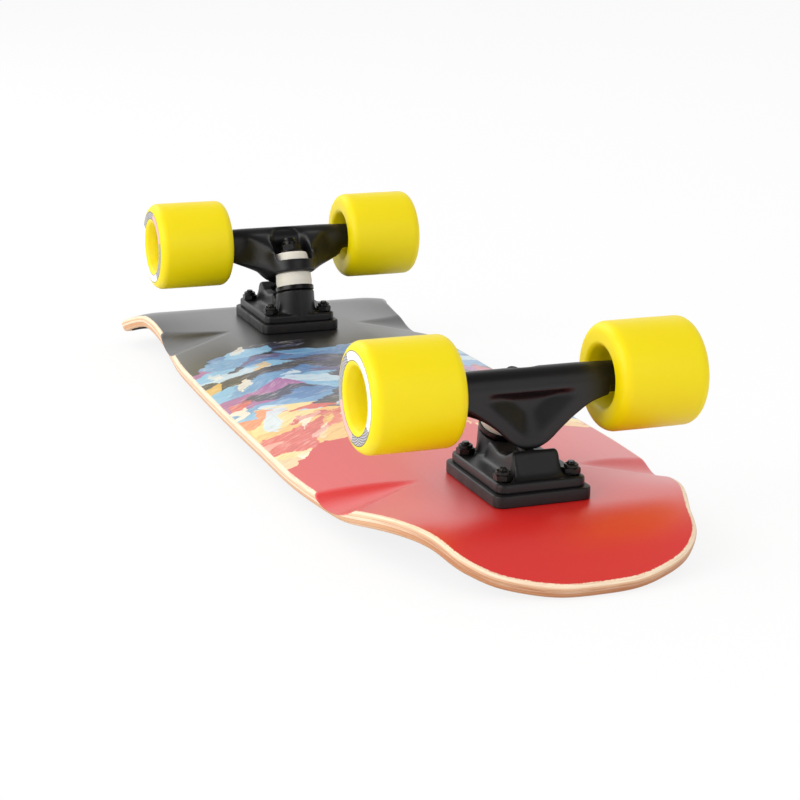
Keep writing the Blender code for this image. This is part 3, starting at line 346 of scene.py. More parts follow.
@dataclass(frozen=True)
class Finish:
    """A surface finish; each kind draws its own nodes."""

    name: str

    def draw(self, web: NodeWeb) -> None:
        """Draw the finish's nodes."""
        raise NotImplementedError

    def material(self) -> bpy.types.Material:
        """Make the material once, and return the same one from then on.

        Returns:
            The material.
        """
        made = bpy.data.materials.get(self.name)
        if made is None:
            made = bpy.data.materials.new(self.name)
            self.draw(NodeWeb(made))
        return made


@dataclass(frozen=True)
class PaintedMaple(Finish):
    """Maple plies with a painted face: red, then warm and cool brush strokes, then black."""

    thickness: float = 8.6
    # ply tones by depth, pale and tan by turns; the palest, on the upper rounding of the rim, is partly a painted
    # highlight
    plies: Stops = (
        (0.0, srgb(246, 224, 194)), (0.13, srgb(232, 194, 158)), (0.27, srgb(242, 214, 184)),
        (0.5, srgb(216, 166, 124)), (0.73, srgb(230, 188, 150)),
    )
    streak_scale: tuple[float, float] = (34.0, 2.6)
    streaks: Colour = srgb(198, 138, 94)
    # painted shade: a darker brown over the lower plies at the near end, and how far along it reaches
    end_grain: Colour = srgb(178, 108, 62)
    end_reach: tuple[float, float] = (-0.21, -0.29)
    glue: Colour = srgb(168, 118, 76)
    glue_depths: tuple[float, ...] = (2.3, 4.3, 6.3)
    glue_line: tuple[float, float] = (0.08, 0.14)
    red: Colour = srgb(217, 23, 17)
    red_end: float = -0.088
    cool_start: float = -0.026
    cool_slant: float = 0.38
    black: Colour = srgb(14, 13, 17)
    black_start: float = 0.138
    swirl: tuple[float, float] = (11.0, 0.06)
    tatters: tuple[tuple[float, float], ...] = ((48.0, 0.02), (130.0, 0.009), (420.0, 0.003))
    dabs: tuple[tuple[float, float, float], ...] = ((30.0, 13.0, 0.95), (62.0, 24.0, 1.35), (120.0, 46.0, 0.5))
    over_share: float = 0.42
    accent_share: float = 0.86
    warm: Stops = (
        (0.0, srgb(226, 80, 62)), (0.16, srgb(238, 112, 82)), (0.33, srgb(244, 148, 96)),
        (0.46, srgb(250, 196, 104)), (0.6, srgb(252, 220, 140)), (0.7, srgb(236, 96, 76)),
        (0.8, srgb(244, 160, 138)), (0.88, srgb(250, 206, 150)), (0.95, srgb(150, 176, 214)),
    )
    cool: Stops = (
        (0.0, srgb(36, 36, 58)), (0.17, srgb(66, 128, 186)), (0.3, srgb(128, 190, 226)),
        (0.44, srgb(44, 52, 92)), (0.56, srgb(98, 160, 206)), (0.67, srgb(196, 220, 234)),
        (0.76, srgb(172, 92, 160)), (0.85, srgb(196, 62, 70)), (0.92, srgb(88, 84, 140)),
    )
    bright: Stops = (
        (0.0, srgb(255, 240, 214)), (0.4, srgb(246, 196, 96)), (0.62, srgb(214, 232, 242)),
        (0.82, srgb(226, 86, 80)),
    )
    bristles: tuple[float, float, float] = (520.0, 70.0, 1.15)
    bristle_light: Colour = srgb(255, 246, 230)
    bristle_dark: Colour = srgb(66, 52, 84)
    pore: Colour = srgb(60, 16, 16)
    pore_scale: tuple[float, float, float] = (900.0, 14.0, 60.0)
    wrap_across: tuple[float, float] = (0.05, 0.09)
    wrap_along: tuple[float, float] = (0.2, 0.26)
    wrap: float = 1.8
    coat_roughness: float = 0.35
    coat_ior: float = 1.6
    relief: float = 0.00012

    def _wood(self, web: NodeWeb, place: Signal) -> Signal:
        """Colour of the bare plies, with painted shade over the lower plies at the near end.

        Args:
            web: The material's nodes.
            place: Place on the board.

        Returns:
            The colour.
        """
        depth = web.attribute("ply_depth") + web.noise(place, 30.0).between(-0.2, 0.2)
        across, along, _ = web.split(place)
        flat, deep = self.streak_scale
        layers = web.add("ShaderNodeCombineXYZ", inputs={0: across * flat, 1: along * flat, 2: depth * deep})
        streak = web.noise(layers, 1.0, 5.0, 0.68)
        tone = web.ramp(depth / self.thickness, self.plies)
        tone = web.mix(streak.ease(0.4, 0.72) * 0.5, tone, self.streaks)
        # painted shade: the lower plies darken towards the near end, broken up by the streaks
        end_shaded = along.ease(*self.end_reach) * depth.ease(0.4, 3.0) * streak.ease(0.35, 0.65).between(0.35, 1.0)
        tone = web.mix(end_shaded, tone, self.end_grain)
        lines = sum(depth.near(level, *self.glue_line) for level in self.glue_depths)
        return web.mix(lines.at_most(1.0) * 0.65, tone, self.glue)

    @staticmethod
    def _dab(web: NodeWeb, place: Signal, dab: tuple[float, float, float]) -> tuple[Signal, Signal, Signal]:
        """Three random shares of each dab, given the dabs in a metre, across and along, and their turn."""
        across, along, turn = dab
        return web.split(web.cells(web.stretched(place, (across, along, 0.0), turn)))

    def _strokes(self, web: NodeWeb, place: Signal) -> Signal:
        """Colour of the painted face.

        Args:
            web: The material's nodes.
            place: Place on the board.

        Returns:
            The colour.
        """
        across, along, _ = web.split(place)
        swept = ragged = web.drifted(place, *self.swirl)
        for scale, reach in self.tatters:
            ragged = web.drifted(ragged, scale, reach)
        (broad, wander, _), (middle, pick, _), (small, choose, _) = (
            self._dab(web, ragged, dab) for dab in self.dabs)
        over = pick.above(self.over_share)
        share = broad * (1 - over) + middle * over
        zone = along - across * 0.1 + wander.between(-0.016, 0.016) + over * middle.between(-0.01, 0.01)
        cooled = (zone + across * self.cool_slant).above(self.cool_start)
        painted = web.mix(cooled, web.ramp(share, self.warm), web.ramp(share, self.cool))
        accent = choose.above(self.accent_share) * pick.between(0.3, 1.0)
        painted = web.mix(accent, painted, web.ramp(small, self.bright))
        wide, long, turn = self.bristles
        bristle = web.noise(web.stretched(swept, (wide, long, 0.0), turn), 1.0, 4.0, 0.7)
        painted = web.mix(bristle.ease(0.48, 0.74) * 0.45, painted, self.bristle_light)
        painted = web.mix(bristle.ease(0.5, 0.24) * 0.4, painted, self.bristle_dark)
        covered = web.mix(zone.above(self.red_end), self.red, painted)
        return web.mix(zone.above(self.black_start), covered, self.black)

    def draw(self, web: NodeWeb) -> None:
        """Draw the paint over the plies.

        Args:
            web: The material's nodes.
        """
        place = web.place()
        across, along, _ = web.split(place)
        wrapped = across.ease(*self.wrap_across) * along.ease(*self.wrap_along) * self.wrap
        ragged = web.noise(place, 1100.0, 3.0, 0.6).between(-0.55, 0.55)
        painted = (web.attribute("paint_margin") + ragged + wrapped).ease(-0.12, 0.14)
        grain = web.noise(web.stretched(place, self.pore_scale), 1.0, 4.0, 0.65)
        pores = grain.ease(0.6, 0.78)
        hide = web.noise(place, 700.0, 3.0, 0.6)
        face = web.mix(pores * 0.14, self._strokes(web, place), self.pore)
        web.wear(Base_Color=web.mix(painted, self._wood(web, place), face),
                 Roughness=0.5 - painted * 0.08 + grain.between(-0.04, 0.04), Specular_IOR_Level=0.5,
                 Coat_Weight=painted.between(0.15, 1.0), Coat_Roughness=self.coat_roughness,
                 Coat_IOR=self.coat_ior,
                 Normal=web.bump(painted * (0.6 + hide * 0.9) - pores * 0.5, self.relief, 0.7))


@dataclass(frozen=True)
class GripSheet(Finish):
    """Black grit on a backing sheet."""

    colour: Colour = srgb(24, 24, 25)
    worn: Colour = srgb(52, 51, 50)
    speck: Colour = srgb(104, 104, 106)
    grit_scale: float = 2400.0
    relief: float = 0.0005

    def draw(self, web: NodeWeb) -> None:
        """Draw the grit.

        Args:
            web: The material's nodes.
        """
        place = web.place()
        grit = web.noise(place, self.grit_scale, 3.0, 0.7)
        worn = web.noise(place, 26.0, 3.0, 0.6).ease(0.5, 0.8)
        speck = grit.ease(0.62, 0.7)
        colour = web.mix(worn * 0.25, self.colour, self.worn)
        web.wear(Base_Color=web.mix(speck * 0.6, colour, self.speck), Roughness=0.96 - speck * 0.4,
                 Normal=web.bump(grit, self.relief, 0.9))


@dataclass(frozen=True)
class Cast(Finish):
    """Satin black coat over a casting, with a fine orange peel."""

    colour: Colour = srgb(13, 12, 15)
    roughness: float = 0.37
    peel: float = 1500.0
    relief: float = 0.00006
    metallic: float = 0.0

    def draw(self, web: NodeWeb) -> None:
        """Draw the coat.

        Args:
            web: The material's nodes.
        """
        place = web.place()
        peel = web.noise(place, self.peel, 3.0, 0.55)
        cloud = web.noise(place, 60.0, 3.0, 0.6)
        scuffed = (cloud * 0.6 + peel * 0.4).ease(0.58, 0.72)
        lighter = (*(min(1.0, value * 1.6 + 0.006) for value in self.colour[:3]), 1.0)
        web.wear(Base_Color=web.mix(scuffed * 0.55, self.colour, lighter), Metallic=self.metallic,
                 Roughness=cloud.between(self.roughness - 0.05, self.roughness + 0.09),
                 Normal=web.bump(peel, self.relief, 0.6))


@dataclass(frozen=True)
class Metal(Finish):
    """Bright or blackened steel with fine tool marks."""

    colour: Colour = srgb(196, 197, 200)
    roughness: float = 0.26
    metallic: float = 1.0
    mark_scale: float = 4200.0
    relief: float = 0.00002

    def draw(self, web: NodeWeb) -> None:
        """Draw the metal.

        Args:
            web: The material's nodes.
        """
        place = web.place()
        marks = web.noise(place, self.mark_scale, 2.0, 0.7)
        cloud = web.noise(place, 220.0, 3.0, 0.6)
        dark = (*(value * 0.62 for value in self.colour[:3]), 1.0)
        uneven = cloud * 0.5 + marks * 0.5
        web.wear(Base_Color=web.mix(cloud.ease(0.4, 0.72) * 0.5, self.colour, dark), Metallic=self.metallic,
                 Roughness=uneven.between(self.roughness - 0.07, self.roughness + 0.16),
                 Normal=web.bump(marks, self.relief, 0.5))


@dataclass(frozen=True)
class Rubber(Finish):
    """Black moulded rubber with a dull bloom."""

    colour: Colour = srgb(18, 16, 18)
    bloom: Colour = srgb(40, 38, 40)
    relief: float = 0.00005

    def draw(self, web: NodeWeb) -> None:
        """Draw the rubber.

        Args:
            web: The material's nodes.
        """
        place = web.place()
        fine = web.noise(place, 2600.0, 3.0, 0.6)
        bloom = web.noise(place, 90.0, 4.0, 0.65).ease(0.42, 0.75)
        web.wear(Base_Color=web.mix(bloom * 0.45, self.colour, self.bloom), Roughness=bloom.between(0.42, 0.6),
                 Normal=web.bump(fine, self.relief, 0.6))


@dataclass(frozen=True)
class Urethane(Finish):
    """Cast urethane, a little see-through, with a fine skin."""

    colour: Colour = srgb(236, 214, 0)
    deep: Colour = srgb(236, 202, 0)
    roughness: float = 0.38
    glow: float = 0.14
    glow_scale: float = 0.004
    glow_radius: tuple[float, float, float] = (1.0, 0.55, 0.12)
    sheen: float = 0.28

    def _body(self, web: NodeWeb) -> Signal:
        """Colour of the plain urethane."""
        cloud = web.noise(web.place(), 45.0, 3.0, 0.6)
        return web.mix(cloud.ease(0.35, 0.85) * 0.16, self.colour, self.deep)

    def _skin(self, web: NodeWeb, fine: Signal) -> Signal:
        """Set what all cast urethane shares.

        Args:
            web: The material's nodes.
            fine: Fine noise.

        Returns:
            The skin's roughness.
        """
        web.wear(Subsurface_Weight=self.glow, Subsurface_Scale=self.glow_scale,
                 Subsurface_Radius=self.glow_radius, Specular_IOR_Level=self.sheen)
        return fine.between(self.roughness - 0.04, self.roughness + 0.08)

    def draw(self, web: NodeWeb) -> None:
        """Draw the urethane."""
        fine = web.noise(web.place(), 1900.0, 2.0, 0.6)
        web.wear(Base_Color=self._body(web), Roughness=self._skin(web, fine), Normal=web.bump(fine, 0.00003, 0.5))


@dataclass(frozen=True)
class PrintedUrethane(Urethane):
    """Wheel urethane with a printed ring on the outer face and turning marks on the tread."""

    face_height: float = 20.0
    ring: tuple[float, float] = (20.9, 26.0)
    ring_line: tuple[float, float] = (0.2, 0.15)
    ink: Colour = srgb(74, 72, 76)
    weave_turns: float = 34.0
    weave_rows: float = 4.2
    weave_dark: Colour = srgb(96, 94, 98)
    weave_pale: Colour = srgb(196, 192, 194)
    arcs: Stops = ((0.0, BLANK), (0.165, FULL), (0.585, BLANK), (0.79, FULL), (0.965, BLANK))
    clean: Stops = ((0.0, srgb(250, 250, 248)), (0.7, srgb(238, 176, 170)))
    tread_marks: float = 5.2
    face_marks: float = 6.0

    def _print(self, web: NodeWeb, radius: Signal, turn: Signal) -> Signal:
        """Colour of the printed ring: woven grey arcs between clean ones.

        Args:
            web: The material's nodes.
            radius: Distance from the wheel's middle.
            turn: Share of a whole turn.

        Returns:
            The colour.
        """
        ticks = (turn * (math.tau * self.weave_turns)).wave().above(0.1)
        rows = (radius * self.weave_rows).wave().above(0.0)
        grey = web.mix((ticks - rows) * (ticks - rows), self.weave_dark, self.weave_pale)
        return web.mix(web.ramp(turn, self.arcs), grey, web.ramp(turn, self.clean))

    def draw(self, web: NodeWeb) -> None:
        """Draw the wheel.

        Args:
            web: The material's nodes.
        """
        east, north, out = web.split(web.attribute("wheel_place", "Vector"))
        radius = (east * east + north * north) ** 0.5
        turn = north.math("ARCTAN2", north, east) / math.tau + 0.5
        low, high = self.ring
        face = out.above(self.face_height)
        band = radius.near((low + high) / 2, (high - low) / 2, 0.12) * face
        lines = (radius.near(low, *self.ring_line) + radius.near(high, *self.ring_line)) * face
        colour = web.mix(band, self._body(web), self._print(web, radius, turn))
        colour = web.mix((lines * 0.9).at_most(1.0), colour, self.ink)
        lathe = (out * self.tread_marks).wave() * (1 - face) + (radius * self.face_marks).wave() * face
        fine = web.noise(web.place(), 1700.0, 2.0, 0.6)
        web.wear(Base_Color=colour, Roughness=self._skin(web, fine) + band * 0.06,
                 Normal=web.bump(fine * 0.6 + lathe * 0.16, 0.00004, 0.5))


MAPLE = PaintedMaple("look_painted_maple")
GRIT = GripSheet("look_grip_sheet")
CAST = Cast("look_cast_black")
BLACK_STEEL = Cast("look_black_steel", colour=srgb(20, 17, 16), roughness=0.24, peel=2600.0,
                   relief=0.00003, metallic=0.4)
STEEL = Metal("look_steel")
SHIELD = Metal("look_bearing_shield", colour=srgb(60, 60, 64), roughness=0.4, metallic=0.6)
NYLON = Rubber("look_nylon_insert", colour=srgb(44, 42, 42))
RUBBER = Rubber("look_rubber")
YELLOW = PrintedUrethane("look_urethane_yellow")
CREAM = Urethane("look_urethane_cream", colour=srgb(216, 210, 198), deep=srgb(202, 190, 172),
                 roughness=0.42, glow=0.1)


# ---------------------------------------------------------------- solids


def rounded(corners: Sequence[Corner], steps: int = 5, closed: bool = False) -> list[Point]:
    """Round the corners of a line.

    Args:
        corners: Two coordinates and the radius at each corner.
        steps: Steps of each arc.
        closed: Whether the line closes on itself.

    Returns:
        The line's points.
    """
    points: list[Point] = []
    count = len(corners)
    for index, (first, second, radius) in enumerate(corners):
        here = Vector((first, second))
        if radius == 0 or (not closed and index in (0, count - 1)):
            points.append((first, second))
            continue
        into = here - Vector(corners[index - 1][:2])
        out = Vector(corners[(index + 1) % count][:2]) - here
        bend = into.angle(out)
        reach = min(radius * math.tan(bend / 2), 0.49 * into.length, 0.49 * out.length)
        radius = reach / math.tan(bend / 2)
        into.normalize()
        side = math.copysign(1.0, into.x * out.y - into.y * out.x)
        start = here - into * reach
        centre = start + Vector((-into.y, into.x)) * radius * side
        for step in range(steps + 1):
            spoke = Matrix.Rotation(side * bend * step / steps, 2) @ (start - centre)
            points.append(tuple(centre + spoke))
    return points


def flowing(knots: Sequence[Point], steps: int = 6) -> list[Point]:
    """Draw a smooth line through knots.

    Args:
        knots: The points that it passes.
        steps: Steps between two knots.

    Returns:
        The line's points, first and last knots included.
    """
    ends = [np.array(knot, float) for knot in knots]
    ends = [2 * ends[0] - ends[1], *ends, 2 * ends[-1] - ends[-2]]
    points: list[Point] = []
    for index in range(1, len(ends) - 2):
        before, here, there, after = ends[index - 1:index + 3]
        for step in range(steps):
            share = step / steps
            bend = (2 * here + (there - before) * share + (2 * before - 5 * here + 4 * there - after) * share ** 2
                    + (3 * here - before - 3 * there + after) * share ** 3) / 2
            points.append(tuple(bend))
    return points + [tuple(knots[-1])]


def thread(radius: float, low: float, high: float, pitch: float = 1.2) -> list[Point]:
    """Profile of a cut thread, going up.

    Args:
        radius: Radius over the crests.
        low: Where the thread starts.
        high: Where it ends.
        pitch: Distance between crests.

    Returns:
        Radius and height of each point.
    """
    root = radius - 0.36 * pitch
    points: list[Point] = []
    for turn in range(int((high - low) / pitch)):
        start = low + turn * pitch
        points += [(root, start), (radius, start + 0.42 * pitch), (radius, start + 0.58 * pitch)]
    return points + [(root, high)]


def flipped(line: Sequence[tuple[float, ...]], axis: int) -> list[tuple[float, ...]]:
    """Run a line backward with one of its coordinates negated."""
    return [(*place[:axis], -place[axis], *place[axis + 1:]) for place in reversed(line)]


def least(*values: float) -> float:
    """The least of some values, held between 0 and 1."""
    return max(0.0, min(1.0, *values))


class Solid:
    """A mesh under construction, in millimetres, shaped with Blender's own tools."""

    def __init__(self, obj: bpy.types.Object) -> None:
        """Hold an object."""
        self.obj = obj

    @staticmethod
    def deselect() -> None:
        """Deselect everything."""
        bpy.ops.object.select_all(action="DESELECT")

    @classmethod
    def added(cls) -> "Solid":
        """Take up the primitive that was just added, with its place moved into its mesh."""
        bpy.ops.object.transform_apply(location=True, rotation=True, scale=True)
        return cls(bpy.context.active_object)

    @classmethod
    def box(cls, low: Sequence[float], high: Sequence[float]) -> "Solid":
        """Add a box between two corners.

        Args:
            low: The lower corner.
            high: The upper corner.

        Returns:
            The solid.
        """
        cls.deselect()
        middle = [(first + last) / 2 for first, last in zip(low, high)]
        size = [last - first for first, last in zip(low, high)]
        bpy.ops.mesh.primitive_cube_add(size=1.0, location=middle, scale=size)
        return cls.added()

    @classmethod
    def cylinder(cls, radius: float, low: float, high: float, sides: int = 64,
                 top: float | None = None) -> "Solid":
        """Add a cylinder or cone about Z.

        Args:
            radius: Radius at its foot.
            low: Height of its foot.
            high: Height of its top.
            sides: Number of sides.
            top: Radius at its top, if it differs.

        Returns:
            The solid.
        """
        cls.deselect()
        bpy.ops.mesh.primitive_cone_add(vertices=sides, radius1=radius, radius2=radius if top is None else top,
                                        depth=high - low, location=(0.0, 0.0, (low + high) / 2))
        return cls.added()

    @classmethod
    def _traced(cls, points: Sequence[Sequence[float]], closed: bool) -> "Solid":
        """Draw a line of edges, extruding a single vertex from point to point.

        Args:
            points: The points.
            closed: Whether to return to the first one.

        Returns:
            The line.
        """
        cls.deselect()
        bpy.ops.mesh.primitive_plane_add(size=1.0, location=points[0])
        line = cls.added()
        path = [Vector(point) for point in points] + ([Vector(points[0])] if closed else [])
        with line.editing():
            bpy.ops.mesh.merge(type="CENTER")
            for here, there in zip(path, path[1:]):
                bpy.ops.mesh.extrude_vertices_move(TRANSFORM_OT_translate={"value": there - here})
            bpy.ops.mesh.select_all(action="SELECT")
            bpy.ops.mesh.remove_doubles(threshold=0.0005)
        return line

    @classmethod
    def turned(cls, profile: Sequence[Point], steps: int = 64, closed: bool = False) -> "Solid":
        """Spin a profile about Z.

        Args:
            profile: Radius and height of each point.
            steps: Steps round the turn.
            closed: Whether the profile closes on itself, as a ring's does.

        Returns:
            The solid.
        """
        solid = cls._traced([(radius, 0.0, height) for radius, height in profile], closed)
        with solid.editing():
            bpy.ops.mesh.spin(steps=steps, angle=math.tau, center=(0.0, 0.0, 0.0), axis=(0.0, 0.0, 1.0))
            bpy.ops.mesh.select_all(action="SELECT")
            bpy.ops.mesh.remove_doubles(threshold=0.0005)
            bpy.ops.mesh.normals_make_consistent(inside=False)
        return solid

    @classmethod
    def ring(cls, section: Sequence[Corner], bends: int, steps: int = 72) -> "Solid":
        """Spin a closed section about Z, its corners rounded in a number of bends."""
        return cls.turned(rounded(section, bends, closed=True), steps, closed=True)

    @classmethod
    def plate(cls, outline: Sequence[Point], low: float, high: float) -> "Solid":
        """Extrude a flat outline along Z.

        Args:
            outline: The outline's points.
            low: Where the plate starts.
            high: Where it ends.

        Returns:
            The solid.
        """
        solid = cls._traced([(across, along, low) for across, along in outline], True)
        with solid.editing():
            bpy.ops.mesh.edge_face_add()
            bpy.ops.mesh.extrude_region_move(TRANSFORM_OT_translate={"value": (0.0, 0.0, high - low)})
            bpy.ops.mesh.select_all(action="SELECT")
            bpy.ops.mesh.normals_make_consistent(inside=False)
        return solid

    @contextmanager
    def editing(self, kind: str = "VERT") -> Iterator[None]:
        """Edit mode on this solid alone, all selected.

        Args:
            kind: What is selected: VERT, EDGE or FACE.

        Yields:
            Nothing.
        """
        self.select()
        bpy.ops.object.mode_set(mode="EDIT")
        bpy.ops.mesh.select_mode(type=kind)
        bpy.ops.mesh.select_all(action="SELECT")
        yield
        bpy.ops.object.mode_set(mode="OBJECT")

    def select(self) -> "Solid":
        """Select this solid alone.

        Returns:
            This solid.
        """
        self.deselect()
        self.obj.select_set(True)
        bpy.context.view_layer.objects.active = self.obj
        return self

    def pick_edges(self, test: EdgeTest) -> None:
        """Select the edges that pass a test, and no others, in edit mode.

        Args:
            test: Says whether an edge is one of them.
        """
        bpy.ops.mesh.select_all(action="DESELECT")
        for edge in bmesh.from_edit_mesh(self.obj.data).edges:
            if test(edge):
                edge.select_set(True)
        bmesh.update_edit_mesh(self.obj.data)

    def round_edges(self, test: EdgeTest, width: float, steps: int = 5) -> "Solid":
        """Round the edges that pass a test.

        Args:
            test: Says whether an edge is one of them.
            width: Width of the rounding.
            steps: Its steps.

        Returns:
            This solid.
        """
        with self.editing("EDGE"):
            self.pick_edges(test)
            bpy.ops.mesh.bevel(offset=width, segments=steps, affect="EDGES")
        return self

    def modify(self, kind: str, **settings: object) -> "Solid":
        """Add a modifier and apply it.

        Args:
            kind: Its type.
            settings: Its settings by name.

        Returns:
            This solid.
        """
        self.select()
        modifier = self.obj.modifiers.new(kind.title(), kind)
        for name, value in settings.items():
            setattr(modifier, name, value)
        bpy.ops.object.modifier_apply(modifier=modifier.name)
        return self

    def soften(self, width: float, steps: int = 3, angle: float = 40.0) -> "Solid":
        """Round every edge sharper than an angle."""
        return self.modify("BEVEL", width=width, segments=steps, limit_method="ANGLE",
                           angle_limit=math.radians(angle))

    def _combine(self, operation: str, others: Sequence["Solid"]) -> "Solid":
        """Join or cut with other solids, which are used up.

        Args:
            operation: Kind of Boolean.
            others: The other solids.

        Returns:
            This solid.
        """
        for other in others:
            self.modify("BOOLEAN", operation=operation, solver="EXACT", object=other.obj)
            other.discard()
        return self

    def cut(self, *others: "Solid") -> "Solid":
        """Cut other solids away."""
        return self._combine("DIFFERENCE", others)

    def fuse(self, *others: "Solid") -> "Solid":
        """Join other solids to this one."""
        return self._combine("UNION", others)

    def keep(self, *others: "Solid") -> "Solid":
        """Keep only what lies inside other solids."""
        return self._combine("INTERSECT", others)

    def gather(self, *others: "Solid") -> "Solid":
        """Take other solids into this object, with their finishes.

        Args:
            others: The other solids.

        Returns:
            This solid.
        """
        self.select()
        for other in others:
            other.obj.select_set(True)
        bpy.ops.object.join()
        return self

    def move(self, matrix: Matrix) -> "Solid":
        """Move the mesh by a matrix."""
        self.obj.data.transform(matrix)
        return self

    def points(self) -> np.ndarray:
        """Read the vertices' coordinates.

        Returns:
            One row of three for each vertex.
        """
        held = np.empty(len(self.obj.data.vertices) * 3, np.float32)
        self.obj.data.vertices.foreach_get("co", held)
        return held.reshape(-1, 3)

    def set_points(self, points: np.ndarray) -> "Solid":
        """Give the vertices new coordinates.

        Args:
            points: One row of three for each vertex.

        Returns:
            This solid.
        """
        self.obj.data.vertices.foreach_set("co", points.astype(np.float32).ravel())
        self.obj.data.update()
        return self

    def note(self, name: str, values: np.ndarray) -> "Solid":
        """Store one number or vector for each vertex as an attribute.

        Args:
            name: The attribute's name.
            values: The values.

        Returns:
            This solid.
        """
        kind, label = ("FLOAT", "value") if values.ndim == 1 else ("FLOAT_VECTOR", "vector")
        attribute = self.obj.data.attributes.new(name, kind, "POINT")
        attribute.data.foreach_set(label, values.astype(np.float32).ravel())
        return self

    def reshape(self, rule: Callable[[np.ndarray], np.ndarray]) -> "Solid":
        """Move the vertices by a rule that takes and returns an array of points."""
        return self.set_points(rule(self.points().astype(float)))

    def recast(self, voxel: float, rounds: int) -> "Solid":
        """Melt the solid into one even skin, and smooth it as a casting is."""
        self.modify("REMESH", mode="VOXEL", voxel_size=voxel)
        return self.modify("SMOOTH", factor=0.5, iterations=rounds)

    def flare(self, rule: Callable[[Vector], float], rounds: int) -> "Solid":
        """Smooth more where a rule says so, which draws a foot out into a flare.

        Args:
            rule: Weight of a point, 0 to 1.
            rounds: Rounds of smoothing.

        Returns:
            This solid.
        """
        group = self.obj.vertex_groups.new(name="flare")
        for vertex in self.obj.data.vertices:
            weight = rule(vertex.co)
            if weight > 0:
                group.add([vertex.index], weight, "REPLACE")
        self.modify("SMOOTH", factor=0.5, iterations=rounds, vertex_group=group.name)
        self.obj.vertex_groups.clear()
        return self

    def dress(self, finish: Finish, angle: float = 35.0) -> "Solid":
        """Give the solid its finish, and shade it smooth up to an angle.

        Args:
            finish: The finish.
            angle: Greatest angle that is shaded smooth.

        Returns:
            This solid.
        """
        self.obj.data.materials.clear()
        self.obj.data.materials.append(finish.material())
        self.select()
        bpy.ops.object.shade_smooth_by_angle(angle=math.radians(angle))
        return self

    def deliver(self, name: str, place: Matrix, slot: Slot, nodes: Sequence[str],
                bodies: Sequence[str], ends: Sequence[Vector] = ()) -> None:
        """Put a copy in its place in the frame.

        Args:
            name: The piece's name.
            place: Matrix from its own millimetres to the frame's metres.
            slot: The record's material slot; not used.
            nodes: CAD nodes that it stands for.
            bodies: The body that it rides on, or two bodies, in which case it is hung on neither.
            ends: Where a bend would start and end, in its own millimetres; they are moved into place but not used.
        """
        piece = self.obj.copy()
        piece.data = self.obj.data.copy()
        piece.name = piece.data.name = name
        bpy.context.scene.collection.objects.link(piece)
        piece.data.transform(place)
        if len(bodies) == 2:
            [place @ end for end in ends]
            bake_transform(piece)
        else:
            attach(piece, bodies[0])
        if nodes:
            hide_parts(*nodes)
        LOG.info("%s: %d faces, %s", name, len(piece.data.polygons), " to ".join(bodies))

    def discard(self) -> None:
        """Remove the solid."""
        bpy.data.objects.remove(self.obj, do_unlink=True)


def upright(edge: bmesh.types.BMEdge) -> bool:
    """Whether an edge stands along Z."""
    first, last = (vertex.co for vertex in edge.verts)
    return abs(first.z - last.z) > 0.1 and (first - last).xy.length < 0.01


def lock_nut(flats: float, length: float, bore: float) -> Solid:
    """Model a lock nut from its foot up: chamfered hexagon, round collar and a soft insert.

    Args:
        flats: Width across its flats.
        length: Its length.
        bore: Radius of its hole.

    Returns:
        The nut, dressed.
    """
    hexagon = 0.66 * length
    corner = flats / math.sqrt(3.0)
    face, drop, wall = 0.48 * flats, 0.055 * flats, 0.44 * flats
    nut = Solid.cylinder(corner, 0.0, hexagon, 6)
    nut.keep(Solid.turned([(0.0, 0.0), (face, 0.0), (corner, drop), (corner, hexagon - drop), (face, hexagon),
                           (0.0, hexagon)], 48))
    collar = Solid.turned(rounded([(bore, 0.4 * length, 0.0), (wall, 0.4 * length, 0.0), (wall, length, 0.9),
                                   (bore + 0.55, length, 0.3), (bore + 0.55, length - 0.8, 0.0),
                                   (bore, length - 0.8, 0.0)], 4), 48, closed=True)
    nut.cut(Solid.cylinder(bore, -1.0, length + 1.0, 48)).fuse(collar)
    nut.dress(BLACK_STEEL, 30.0)
    insert = Solid.turned(rounded([(bore + 0.02, length - 0.75, 0.0), (bore + 0.53, length - 0.75, 0.0),
                                   (bore + 0.53, length - 0.25, 0.2), (bore + 0.02, length - 0.35, 0.2)], 3),
                          40, closed=True)
    return nut.gather(insert.dress(NYLON))


# ---------------------------------------------------------------- places


@dataclass(frozen=True)
class Station:
    """One truck's place on the board, read from the frame."""

    end: str
    turned: bool

    def matrix(self) -> Matrix:
        """Carry the truck's millimetres, about the middle of its axle, to the frame.

        Returns:
            The matrix.
        """
        low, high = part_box(f"wheel_{self.end}_left")
        middle = (low + high) / 2
        turn = Matrix.Rotation(math.pi, 4, "Z") if self.turned else Matrix()
        return Matrix.Translation((0.0, middle.y, middle.z)) @ turn @ Matrix.Scale(MM, 4)

    def track(self) -> float:
        """Distance from the truck's middle to a wheel's middle, in millimetres."""
        low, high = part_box(f"wheel_{self.end}_right")
        return (low.x + high.x) / 2 / MM

    def hub(self, side: Side) -> Matrix:
        """Matrix from a wheel's millimetres, its outer side up, to the frame.

        Args:
            side: Which side of the board.

        Returns:
            The matrix.
        """
        sign = -side.value if self.turned else side.value
        outward = Matrix.Rotation(sign * math.pi / 2, 4, "Y")
        return self.matrix() @ Matrix.Translation((sign * self.track(), 0.0, 0.0)) @ outward


STATIONS = (Station("near", False), Station("far", True))


# ---------------------------------------------------------------- wheels


